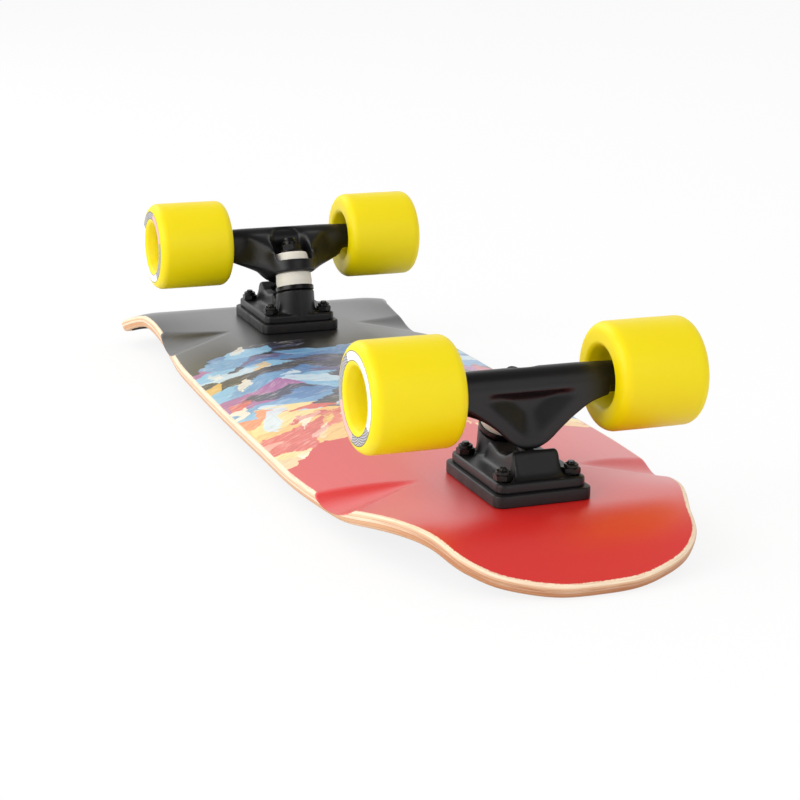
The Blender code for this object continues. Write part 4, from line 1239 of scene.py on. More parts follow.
@dataclass(frozen=True)
class WheelSet:
    """The four wheels with their bearings, speed washers and axle nuts."""

    radius: float = 31.5
    half_width: float = 27.7
    tread_half: float = 4.0
    edge_round: float = 9.0
    mouth: float = 18.6
    throat: float = 15.9
    throat_depth: float = 6.0
    floor_radius: float = 13.6
    floor: float = 12.3
    web: float = 8.5
    bearing_radius: float = 11.0
    bearing_low: float = 5.0
    bearing_high: float = 12.0
    inner_race: float = 6.4
    outer_race: float = 9.3
    bore: float = 4.0
    nut_low: float = 13.0
    nut_flats: float = 12.7
    nut_length: float = 5.2
    nut_bore: float = 4.05
    washer_radius: float = 6.0
    washer_bore: float = 4.15
    washer_height: float = 0.9

    def wheel(self) -> Solid:
        """Turn the tyre, hollow at both faces.

        Returns:
            The tyre, with its own places kept for the print.
        """
        half, low, seat = self.half_width, self.bearing_low, self.bearing_radius + FIT
        upper = [(self.web, low, 0.3), (seat, low, 0.0), (seat, self.floor, 0.4),
                 (self.floor_radius, self.floor, 1.6), (self.throat, half - self.throat_depth, 14.0),
                 (self.mouth, half, 3.6), (self.radius - 0.1, half, self.edge_round),
                 (self.radius, self.tread_half, 0.0)]
        wheel = Solid.ring(upper + flipped(upper, 1), 9, 128)
        return wheel.note("wheel_place", wheel.points()).dress(YELLOW, 30.0)

    def bearing(self) -> Solid:
        """Turn a bearing: outer and inner races with a shield set in between.

        Returns:
            The bearing.
        """
        low, high, bore, rim = self.bearing_low + FIT, self.bearing_high, self.bore + FIT, self.bearing_radius
        races = Solid.ring([
            (bore, low, 0.4), (rim, low, 0.5), (rim, high, 0.5), (self.outer_race, high, 0.15),
            (9.2, high - 0.7, 0.0), (6.5, high - 0.7, 0.0), (self.inner_race, high, 0.15), (bore, high, 0.4),
        ], 4).dress(STEEL)
        shield = Solid.ring([
            (6.62, high - 0.68, 0.0), (9.1, high - 0.68, 0.0), (9.1, high - 0.35, 0.15), (8.6, high - 0.22, 0.2),
            (7.1, high - 0.22, 0.2), (6.62, high - 0.4, 0.15),
        ], 3).dress(SHIELD)
        return races.gather(shield)

    def washer(self) -> Solid:
        """Turn a thin speed washer.

        Returns:
            The washer.
        """
        inner, outer, top = self.washer_bore, self.washer_radius, self.washer_height
        section = [(inner, 0.0, 0.1), (outer, 0.0, 0.2), (outer, top, 0.2), (inner, top, 0.1)]
        return Solid.ring(section, 3, 64).dress(STEEL)

    def build(self) -> None:
        """Model each piece once and hang it on its body at all four hubs."""
        wheel, bearing, washer = self.wheel(), self.bearing(), self.washer()
        nut = lock_nut(self.nut_flats, self.nut_length, self.nut_bore)
        flip = Matrix.Rotation(math.pi, 4, "X")
        for station in STATIONS:
            for side in Side:
                label = f"{station.end}_{side.name.lower()}"
                hub = station.hub(side)
                spun, steered = (f"wheel_{label}",), (f"truck_hanger_{station.end}",)
                wheel.deliver(f"tyre_{label}", hub, Slot.YELLOW, spun, spun)
                bearing.deliver(f"ball_bearing_outer_{label}", hub, Slot.STEEL, (f"bearing_outer_{label}",), spun)
                bearing.deliver(f"ball_bearing_inner_{label}", hub @ flip, Slot.STEEL,
                                (f"bearing_inner_{label}",), spun)
                above = hub @ Matrix.Translation((0.0, 0.0, self.bearing_high + FIT))
                below = hub @ Matrix.Translation((0.0, 0.0, -self.bearing_high - FIT - self.washer_height))
                washer.deliver(f"speed_washer_outer_{label}", above, Slot.STEEL, (), steered)
                washer.deliver(f"speed_washer_inner_{label}", below, Slot.STEEL, (), steered)
                seat = hub @ Matrix.Translation((0.0, 0.0, self.nut_low))
                nut.deliver(f"wheel_nut_{label}", seat, Slot.STEEL, (f"axle_nut_{label}",), steered)
                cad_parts[f"spacer_{label}"].material_slots[0].material = STEEL.material()
        for solid in (wheel, bearing, washer, nut):
            solid.discard()


# ---------------------------------------------------------------- trucks


@dataclass(frozen=True)
class PinLine:
    """The kingpin's line in a truck, and the pivot that the hanger steers about."""

    tilt: float = 20.0
    seat: tuple[float, float] = (30.9, -34.5)
    pivot: tuple[float, float] = (-8.5, -41.8)
    pivot_bore: float = 6.4
    ring_middle: float = 20.9

    def direction(self) -> Vector:
        """Way up the pin."""
        turn = math.radians(self.tilt)
        return Vector((0.0, -math.sin(turn), math.cos(turn)))

    def along(self, distance: float) -> Vector:
        """Point on the pin at a distance from the seat."""
        return Vector((0.0, *self.seat)) + self.direction() * distance

    def matrix(self) -> Matrix:
        """Carries Z onto the pin, from the seat."""
        return Matrix.Translation((0.0, *self.seat)) @ Matrix.Rotation(math.radians(self.tilt), 4, "X")

    def pivot_matrix(self) -> Matrix:
        """Carries Z onto the steering axis, from the pivot's middle.

        Returns:
            The matrix.
        """
        pivot = Vector((0.0, *self.pivot))
        way = (self.along(self.ring_middle) - pivot).normalized()
        return Matrix.Translation(pivot) @ Vector((0.0, 0.0, 1.0)).rotation_difference(way).to_matrix().to_4x4()


PIN = PinLine()


@dataclass(frozen=True)
class Hanger:
    """The moving casting: beam, web with its panel, ring, pocket and pivot."""

    reach: float = 60.15
    beam: float = 9.6
    beam_end: float = 8.75
    web_front: float = -9.7
    web_back: float = 9.0
    web_outline: tuple[Point, ...] = ((0.0, -36.6), (5.0, -35.8), (11.5, -32.4), (19.0, -25.4), (27.0, -18.6),
                                      (37.0, -12.0), (48.0, -8.4))
    panel: tuple[Corner, ...] = ((-31.5, -3.0, 2.5), (0.0, -32.0, 9.0), (31.5, -3.0, 2.5))
    panel_depth: float = 6.0
    panel_floor: float = 0.42
    panel_middle: float = 3.0
    core: float = 7.8
    bore: float = 6.95
    ring_radius: float = 16.2
    ring_low: float = 14.5
    ring_top: float = 23.0
    shoulder: float = 21.0
    shoulder_rise: float = 16.0
    pocket_half: float = 13.7
    pocket_back: float = -13.7
    pocket_front: float = 24.0
    neck: float = 6.6
    ball: float = 4.1
    seat_radius: float = 12.9
    axle_bore: float = 4.0
    voxel: float = 0.62
    smoothing: int = 12
    wing: tuple[Point, ...] = ((13.0, 7.5), (15.8, 4.6), (19.5, 1.4), (25.0, -3.0), (33.0, -9.0), (46.0, -16.4))
    wing_foot: tuple[Point, ...] = ((0.0, 14.5), (15.6, 14.5), (24.3, 19.7), (34.0, 24.1), (46.0, 28.4))
    wing_top: float = 46.0

    def _beam(self) -> Solid:
        """Turn the beam.

        Returns:
            The beam.
        """
        end = self.reach
        half = [(self.beam, 30.0, 0.0), (self.beam - 0.35, 44.0, 30.0), (self.beam_end, end, 1.0), (0.0, end, 0.0)]
        return Solid.turned(rounded(flipped(half, 1) + half, 5), 72).move(ALONG_X)

    def _web(self) -> Solid:
        """Extrude the web, its back edge higher than its front one.

        Returns:
            The web.
        """
        right = flowing(self.web_outline, 5) + [(48.0, 2.0)]
        web = Solid.plate(right + flipped(right[1:], 0), -self.web_back, -self.web_front).move(END_ON)

        def raised(points: np.ndarray) -> np.ndarray:
            """Draw the back of the web up."""
            points[:, 2] *= np.where((points[:, 1] > 0) & (points[:, 2] < 0), 0.66, 1.0)
            return points

        return web.reshape(raised).soften(1.4, 3)

    def _housing(self) -> Solid:
        """Model the ring's housing, cut off under the beam's slope.

        Returns:
            The housing.
        """
        housing = Solid.cylinder(self.ring_radius, self.ring_low, self.ring_low + self.shoulder_rise, 72,
                                 self.shoulder)

        def leaned(points: np.ndarray) -> np.ndarray:
            """Lean the housing back as it widens."""
            points[:, 1] -= (self.shoulder - self.ring_radius) * (points[:, 2] - self.ring_low) / self.shoulder_rise
            return points

        housing.reshape(leaned).fuse(self._wings()).move(PIN.matrix())
        way = PIN.direction()
        front = PIN.along(self.ring_top + 0.8) + Vector((0.0, way.z, -way.y)) * self.ring_radius
        lean = math.atan2(front.z, front.y) - math.asin(self.beam / front.length)
        lid = Solid.box((-90.0, -90.0, 0.0), (90.0, 90.0, 90.0))
        return housing.cut(lid.move(Matrix.Translation(front) @ Matrix.Rotation(lean, 4, "X")))

    def _wings(self) -> Solid:
        """Model the wings that sweep from the ring to the beam, their foot rising outward.

        Returns:
            The wings, about the kingpin.
        """
        right = flowing(self.wing, 4)
        left = flipped(right, 0)
        back = self.wing[-1][1] - 3.0
        outline = right + [(right[-1][0], back), (left[0][0], back)] + left
        wings = Solid.plate(outline, self.ring_low, self.wing_top)
        knots, feet = zip(*self.wing_foot)
        for knot in knots[1:-1]:
            for across in (-knot, knot):
                with wings.editing():
                    bpy.ops.mesh.bisect(plane_co=(across, 0.0, 0.0), plane_no=(1.0, 0.0, 0.0))

        def raised(points: np.ndarray) -> np.ndarray:
            """Raise the foot with its distance from the middle."""
            points[:, 2] = np.maximum(points[:, 2], np.interp(np.abs(points[:, 0]), knots, feet))
            return points

        return wings.reshape(raised)

    def _panel(self) -> Solid:
        """Cutter of the recessed panel, its floor drawn in toward a point under its upper edge.

        Returns:
            The cutter.
        """
        cutter = Solid.plate(rounded(self.panel, 6, closed=True), -self.web_front - self.panel_depth,
                             -self.web_front + self.panel_depth).move(END_ON)
        middle = self.panel[0][1] - self.panel_middle
        scale = self.panel_floor

        def tapered(points: np.ndarray) -> np.ndarray:
            """Draw the floor in and the mouth out.

            Args:
                points: The cutter's points.

            Returns:
                The new points.
            """
            share = np.where(points[:, 1] > self.web_front, scale, 2.0 - scale)
            points[:, 0] *= share
            points[:, 2] = middle + (points[:, 2] - middle) * share
            return points

        return cutter.reshape(tapered)

    def _pocket(self) -> Solid:
        """Cutter of the pocket that the upper bushing stands in.

        Returns:
            The cutter.
        """
        wide, back, front = self.pocket_half, self.pocket_back, self.pocket_front
        corners = [(-wide, back, 12.5), (wide, back, 12.5), (wide, front, 6.0), (-wide, front, 6.0)]
        return Solid.plate(rounded(corners, 8, closed=True), self.ring_top, 62.0).move(PIN.matrix())

    def build(self) -> Solid:
        """Cast the hanger, then machine it.

        Returns:
            The hanger, dressed.
        """
        radius = self.ball
        neck = rounded([(0.0, 20.0, 0.0), (self.neck, 20.0, 0.0), (radius, 3.0, 6.0), (radius, 0.0, 0.0)], 5)
        ball = [(radius * math.cos(turn), -radius * math.sin(turn)) for turn in np.linspace(0.15, math.pi / 2, 6)]
        pivot = Solid.turned(neck + ball[:-1] + [(0.0, -radius)], 40).move(PIN.pivot_matrix())
        cast = self._beam().fuse(self._web(), self._housing()).cut(self._panel(), self._pocket())
        cast.fuse(Solid.cylinder(self.core, -18.0, 18.0, 48).move(ALONG_X))
        cast.cut(Solid.cylinder(PIN.pivot_bore, -20.0, 3.3, 40).move(PIN.pivot_matrix()))
        cast.recast(self.voxel, self.smoothing)

        unpinned = PIN.matrix().inverted()
        wide, top, _ = self.panel[2]
        tall = top - self.panel[1][1]

        def sweep(point: Vector) -> float:
            """Weight of the sweep from the ring to the arms, under the beam's top."""
            out = abs(point.x)
            return least((out - 15.0) / 5.0, (50.0 - out) / 8.0, (point.y - 1.0) / 4.0, (4.0 - point.z) / 4.0)

        def rim(point: Vector) -> float:
            """Weight of the pocket's soft rim."""
            over = (unpinned @ point).z - self.ring_top
            return least((abs(point.x) - 9.0) / 4.0, (over - 1.5) / 4.0, (point.y - 1.0) / 4.0)

        def dish(point: Vector) -> float:
            """Weight of the panel's dish, none outside its rim."""
            aside = (abs(point.x) * tall - wide * (point.z - self.panel[1][1])) / math.hypot(wide, tall)
            return least((1.0 - max(aside, point.z - top)) / 2.0, (-2.0 - point.y) / 2.0)

        cast.flare(sweep, 260).flare(rim, 140).flare(dish, 70).fuse(pivot)
        bore = Solid.cylinder(self.bore, 0.0, 62.0, 48).move(PIN.matrix())
        seat = Solid.cylinder(self.seat_radius, 2.0, self.ring_low - FIT, 64).move(PIN.matrix())
        axle = Solid.cylinder(self.axle_bore, -90.0, 90.0, 40).move(ALONG_X)
        return cast.cut(bore, seat, axle).dress(CAST, 42.0)


@dataclass(frozen=True)
class Baseplate:
    """The fixed casting: slotted flange, pivot hump, saddle and kingpin boss."""

    width: float = 53.6
    length: float = 72.8
    corner: float = 5.5
    offset: float = 8.6
    low: float = -54.38
    high: float = -48.6
    bolt_across: float = 20.65
    bolt_along: float = 27.0
    slot_radius: float = 2.8
    slot_travel: float = 4.0
    spine: tuple[Corner, ...] = ((-24.5, -50.6, 0.0), (-15.8, -35.2, 2.0), (-13.6, -34.6, 2.0), (-4.5, -39.2, 2.0),
                                 (5.0, -40.2, 6.0), (19.5, -37.0, 3.0), (24.0, -50.6, 0.0))
    spine_half: float = 15.2
    spine_taper: float = 0.007
    boss_foot: float = 15.6
    boss_top: float = 13.1
    pin_bore: float = 5.1
    seat_radius: float = 16.5
    pivot_mouth: float = 7.5
    spot_radius: float = 6.3
    spot_mouth: float = 7.2
    voxel: float = 0.6
    smoothing: int = 4

    def slots(self) -> list[Solid]:
        """Model cutters of the four slots, which run outward along the flange.

        Returns:
            The cutters.
        """
        cutters = []
        for across, along in self.bolts():
            outward = math.copysign(self.slot_travel, along - self.offset)
            near, far = sorted((along, along + outward))
            radius = self.slot_radius
            corners = [(across - radius, near - radius, radius), (across + radius, near - radius, radius),
                       (across + radius, far + radius, radius), (across - radius, far + radius, radius)]
            cutters.append(Solid.plate(rounded(corners, 6, closed=True), self.low - 1.0, self.high + 4.0))
        return cutters

    def bolts(self) -> list[Point]:
        """Middles of the four deck bolts."""
        return [(across * self.bolt_across, self.offset + along * self.bolt_along)
                for across in (-1, 1) for along in (-1, 1)]

    def _flange(self) -> Solid:
        """Model the flange with round corners and a round upper edge.

        Returns:
            The flange.
        """
        half, reach = self.width / 2, self.length / 2
        flange = Solid.box((-half, self.offset - reach, self.low), (half, self.offset + reach, self.high))
        flange.round_edges(upright, self.corner, 8)
        top = self.high
        return flange.round_edges(lambda edge: all(abs(end.co.z - top) < 0.01 for end in edge.verts), 1.3, 4)

    def _spine(self) -> Solid:
        """Model the hump over the pivot and the saddle to the boss.

        Returns:
            The spine.
        """
        outline = rounded(self.spine, 5, closed=True)
        spine = Solid.plate(outline, -self.spine_half, self.spine_half).move(SIDE_ON)

        def tapered(points: np.ndarray) -> np.ndarray:
            """Narrow the spine as it rises."""
            points[:, 0] *= 1.0 - self.spine_taper * (points[:, 2] - self.high)
            return points

        return spine.reshape(tapered).soften(3.0, 5, 50.0)

    def _boss(self) -> Solid:
        """Model the flared boss, cut off square to the kingpin.

        Returns:
            The boss.
        """
        lean = math.cos(math.radians(PIN.tilt))
        boss = Solid.cylinder(self.boss_foot, self.low + 0.5, PIN.seat[1] + self.boss_top, 72, self.boss_top)
        boss.move(Matrix.Translation((0.0, PIN.seat[0], 0.0)) @ Matrix.Diagonal((1.0, lean, 1.0, 1.0)))
        above = Solid.box((-60.0, -60.0, 0.0), (60.0, 60.0, 60.0)).move(PIN.matrix())
        return boss.cut(above)

    def build(self) -> Solid:
        """Cast the baseplate, then machine it.

        Returns:
            The baseplate, dressed.
        """
        cast = self._flange().fuse(self._spine(), self._boss()).recast(self.voxel, self.smoothing)
        half, reach = self.width / 2 - 3.0, self.length / 2 - 3.0

        def foot(point: Vector) -> float:
            """Weight of the flare: all near the flange's top, none at its rim or over the bodies.

            Args:
                point: A point of the casting.

            Returns:
                Its weight.
            """
            inside = min(half - abs(point.x), reach - abs(point.y - self.offset))
            rise = point.z - self.high
            return least(inside / 2.0) * max(0.0, 1.0 - max(rise, -rise * 1.2) / 10.0)

        cast.flare(foot, 180)
        pin, pivot = PIN.matrix(), PIN.pivot_matrix()
        for across, along in self.bolts():
            spot = Matrix.Translation((across, along, 0.0))
            cutter = Solid.cylinder(self.spot_radius, self.high - 0.02, self.high + 9.0, 40, self.spot_mouth)
            cast.cut(cutter.move(spot))
        cast.cut(Solid.cylinder(self.pin_bore, -16.0, 40.0, 40).move(pin),
                 Solid.cylinder(PIN.pivot_bore, -4.7, 13.0, 40).move(pivot),
                 Solid.cylinder(self.pivot_mouth, 3.3, 40.0, 40).move(pivot))
        flat = Solid.cylinder(self.seat_radius, 0.0, 20.0, 48).move(pin)
        return cast.cut(flat, *self.slots()).dress(CAST, 42.0)


@dataclass(frozen=True)
class PinStack:
    """What the kingpin carries: washers, bushings and the lock nut."""

    pin_radius: float = 4.75
    pin_tip: float = 40.6
    head_radius: float = 6.3
    head: tuple[float, float] = (-15.0, -11.0)
    thread_low: float = 28.0
    washer_bore: float = 5.05
    bushing_bore: float = 5.1
    cup_radius: float = 14.1
    cup_height: float = 4.2
    lower: tuple[float, float] = (2.0, 14.4)
    lower_radius: float = 13.1
    bulge: float = 0.25
    upper: tuple[float, float] = (22.15, 29.25)
    upper_foot: float = 12.9
    upper_top: float = 11.6
    washer: tuple[float, float] = (29.3, 30.7)
    washer_radius: float = 9.8
    nut_low: float = 30.72
    nut_flats: float = 14.0
    nut_length: float = 7.2
    nut_bore: float = 4.8

    def pin(self) -> Solid:
        """Turn the kingpin with its head and thread.

        Returns:
            The kingpin.
        """
        radius, tip, wide = self.pin_radius, self.pin_tip, self.head_radius
        low, high = self.head
        head = rounded([(0.0, low, 0.0), (wide, low, 0.6), (wide, high, 0.4), (radius, high, 0.0)], 3)
        end = [(radius - 0.9, tip), (0.0, tip)]
        return Solid.turned(head + thread(radius, self.thread_low, tip - 0.6, 1.25) + end, 48).dress(BLACK_STEEL)

    def cup(self) -> Solid:
        """Turn the dished washer under the lower bushing.

        Returns:
            The washer.
        """
        out, bore, top = self.cup_radius, self.washer_bore, self.cup_height
        section = [(bore, FIT, 0.0), (out - 1.2, FIT, 0.5), (out, 1.2, 0.5), (out, top, 0.4), (out - 0.8, top, 0.4),
                   (out - 0.8, 2.0, 0.3), (bore, 1.95, 0.0)]
        return Solid.ring(section, 4).dress(BLACK_STEEL)

    def flat(self) -> Solid:
        """Turn the washer under the nut.

        Returns:
            The washer.
        """
        bore, out = self.washer_bore, self.washer_radius
        low, high = self.washer
        section = [(bore, low, 0.0), (out, low, 0.4), (out, high, 0.4), (bore, high, 0.2)]
        return Solid.ring(section, 4, 64).dress(BLACK_STEEL)

    def barrel(self) -> Solid:
        """Turn the lower bushing, a barrel with soft rims.

        Returns:
            The bushing.
        """
        low, high = self.lower
        bore, rim, wide = self.bushing_bore, self.lower_radius, self.lower_radius + self.bulge
        side = flowing([(rim - 0.1, low + 0.9), (wide - 0.25, low + 3.2), (wide, (low + high) / 2),
                        (wide - 0.25, high - 3.2), (rim - 0.1, high - 0.9)], 5)
        section = [(bore, low), (rim - 1.1, low)] + side + [(rim - 1.1, high), (bore, high)]
        return Solid.turned(section, 72, closed=True).dress(CREAM)

    def cone(self) -> Solid:
        """Turn the upper bushing, a cone with soft rims.

        Returns:
            The bushing.
        """
        low, high = self.upper
        bore, foot = self.bushing_bore, self.upper_foot
        section = [(bore, low, 0.0), (foot, low, 0.8), (foot - 0.2, low + 1.8, 1.5), (self.upper_top, high, 1.6),
                   (bore, high, 0.0)]
        return Solid.ring(section, 5).dress(CREAM)


@dataclass(frozen=True)
class Truck:
    """A whole truck: castings, pin stack, axle, riser pad, bolts and nuts."""

    hanger: Hanger = field(default_factory=Hanger)
    baseplate: Baseplate = field(default_factory=Baseplate)
    stack: PinStack = field(default_factory=PinStack)
    pad_width: float = 58.9
    pad_length: float = 78.2
    pad_low: float = -61.5
    pad_high: float = -54.4
    pad_corner: float = 6.0
    pad_hole: float = 2.8
    axle_radius: float = 3.95
    axle_reach: float = 92.6
    axle_thread: float = 11.0
    bolt_radius: float = 2.4
    bolt_head: float = 4.7
    bolt_low: float = -71.3
    bolt_tip: float = -41.5
    nut_low: float = -48.6
    nut_flats: float = 9.5
    nut_length: float = 5.6
    nut_bore: float = 2.45

    def pad(self) -> Solid:
        """Model the rubber pad, its corners and rims round.

        Returns:
            The pad.
        """
        half, reach, offset = self.pad_width / 2, self.pad_length / 2, self.baseplate.offset
        pad = Solid.box((-half, offset - reach, self.pad_low), (half, offset + reach, self.pad_high))
        pad.round_edges(upright, self.pad_corner, 9).soften(0.9, 4, 60.0)
        for across, along in self.baseplate.bolts():
            hole = Solid.cylinder(self.pad_hole, self.pad_low - 1.0, self.pad_high + 1.0, 32)
            pad.cut(hole.move(Matrix.Translation((across, along, 0.0))))
        return pad.dress(RUBBER)

    def axle(self) -> Solid:
        """Turn the axle with a thread at each end.

        Returns:
            The axle.
        """
        radius, tip = self.axle_radius, self.axle_reach
        half = thread(radius, tip - self.axle_thread, tip - 0.8, 1.1) + [(radius - 0.9, tip), (0.0, tip)]
        return Solid.turned(flipped(half, 1) + half, 40).move(ALONG_X).dress(STEEL)

    def bolt(self) -> Solid:
        """Turn a countersunk deck bolt with a six-sided socket.

        Returns:
            The bolt.
        """
        low, radius, head = self.bolt_low, self.bolt_radius, self.bolt_head
        body = rounded([(0.0, low, 0.0), (head - 0.1, low, 0.15), (head, low + 0.4, 0.15), (radius, low + 2.7, 0.5),
                        (radius, -52.0, 0.0)], 3)
        end = [(radius - 0.5, self.bolt_tip), (0.0, self.bolt_tip)]
        bolt = Solid.turned(body + thread(radius, -49.0, self.bolt_tip - 0.4, 0.8) + end, 32)
        return bolt.cut(Solid.cylinder(1.85, low - 1.0, low + 1.7, 6)).dress(BLACK_STEEL, 30.0)

    def liner(self) -> Solid:
        """Turn the pivot's liner.

        Returns:
            The liner.
        """
        section = [(4.2, -4.4, 0.0), (6.02, -4.4, 0.3), (6.02, 3.0, 0.5), (4.45, 3.0, 0.4), (4.45, 0.0, 1.0),
                   (2.6, -3.6, 0.5), (1.0, -4.2, 0.0), (1.0, -4.4, 0.0)]
        return Solid.ring(section, 4, 40).move(PIN.pivot_matrix()).dress(RUBBER)

    def build(self) -> None:
        """Model each piece once and hang it on its body at both trucks."""
        pin = PIN.matrix()
        seat = Matrix.Translation(PIN.along(self.stack.nut_low)) @ Matrix.Rotation(math.radians(PIN.tilt), 4, "X")
        nut = lock_nut(self.stack.nut_flats, self.stack.nut_length, self.stack.nut_bore).move(seat)
        kinds = {
            "pad": (self.pad(), Slot.RUBBER, "riser_pad"),
            "base_casting": (self.baseplate.build(), Slot.CAST, "baseplate"),
            "pivot_liner": (self.liner(), Slot.RUBBER, "pivot_cup"),
            "pin": (self.stack.pin().move(pin), Slot.BLACK_STEEL, "kingpin"),
            "pin_nut": (nut, Slot.BLACK_STEEL, "kingpin_nut"),
            "dished_washer": (self.stack.cup().move(pin), Slot.BLACK_STEEL, "cup_washer"),
            "pin_washer": (self.stack.flat().move(pin), Slot.BLACK_STEEL, "flat_washer"),
            "hanger_casting": (self.hanger.build(), Slot.CAST, "hanger"),
            "axle_rod": (self.axle(), Slot.STEEL, "axle"),
            "barrel_bushing": (self.stack.barrel().move(pin), Slot.CREAM, "lower_bushing"),
            "cone_bushing": (self.stack.cone().move(pin), Slot.CREAM, "upper_bushing"),
        }
        bolt, deck_nut = self.bolt(), lock_nut(self.nut_flats, self.nut_length, self.nut_bore)
        for station in STATIONS:
            place = station.matrix()
            steered = f"truck_hanger_{station.end}"
            riding = {"hanger_casting": (steered,), "axle_rod": (steered,),
                      "barrel_bushing": ("board", steered), "cone_bushing": (steered, "board")}
            spans = {"barrel_bushing": self.stack.lower, "cone_bushing": self.stack.upper}
            for name, (solid, slot, node) in kinds.items():
                ends = [PIN.along(distance) for distance in spans.get(name, ())]
                solid.deliver(f"{name}_{station.end}", place, slot, (f"{node}_{station.end}",),
                              riding.get(name, ("board",)), ends)
            for across, along in self.baseplate.bolts():
                row = "outer" if along < self.baseplate.offset else "inner"
                label = f"{station.end}_{row}_{'left' if across < 0 else 'right'}"
                spot = place @ Matrix.Translation((across, along, 0.0))
                bolt.deliver(f"screw_{label}", spot, Slot.BLACK_STEEL, (f"deck_bolt_{label}",), ("board",))
                seat = spot @ Matrix.Translation((0.0, 0.0, self.nut_low))
                deck_nut.deliver(f"screw_nut_{label}", seat, Slot.BLACK_STEEL, (f"lock_nut_{label}",), ("board",))
        for solid in [held[0] for held in kinds.values()] + [bolt, deck_nut]:
            solid.discard()


# ---------------------------------------------------------------- deck


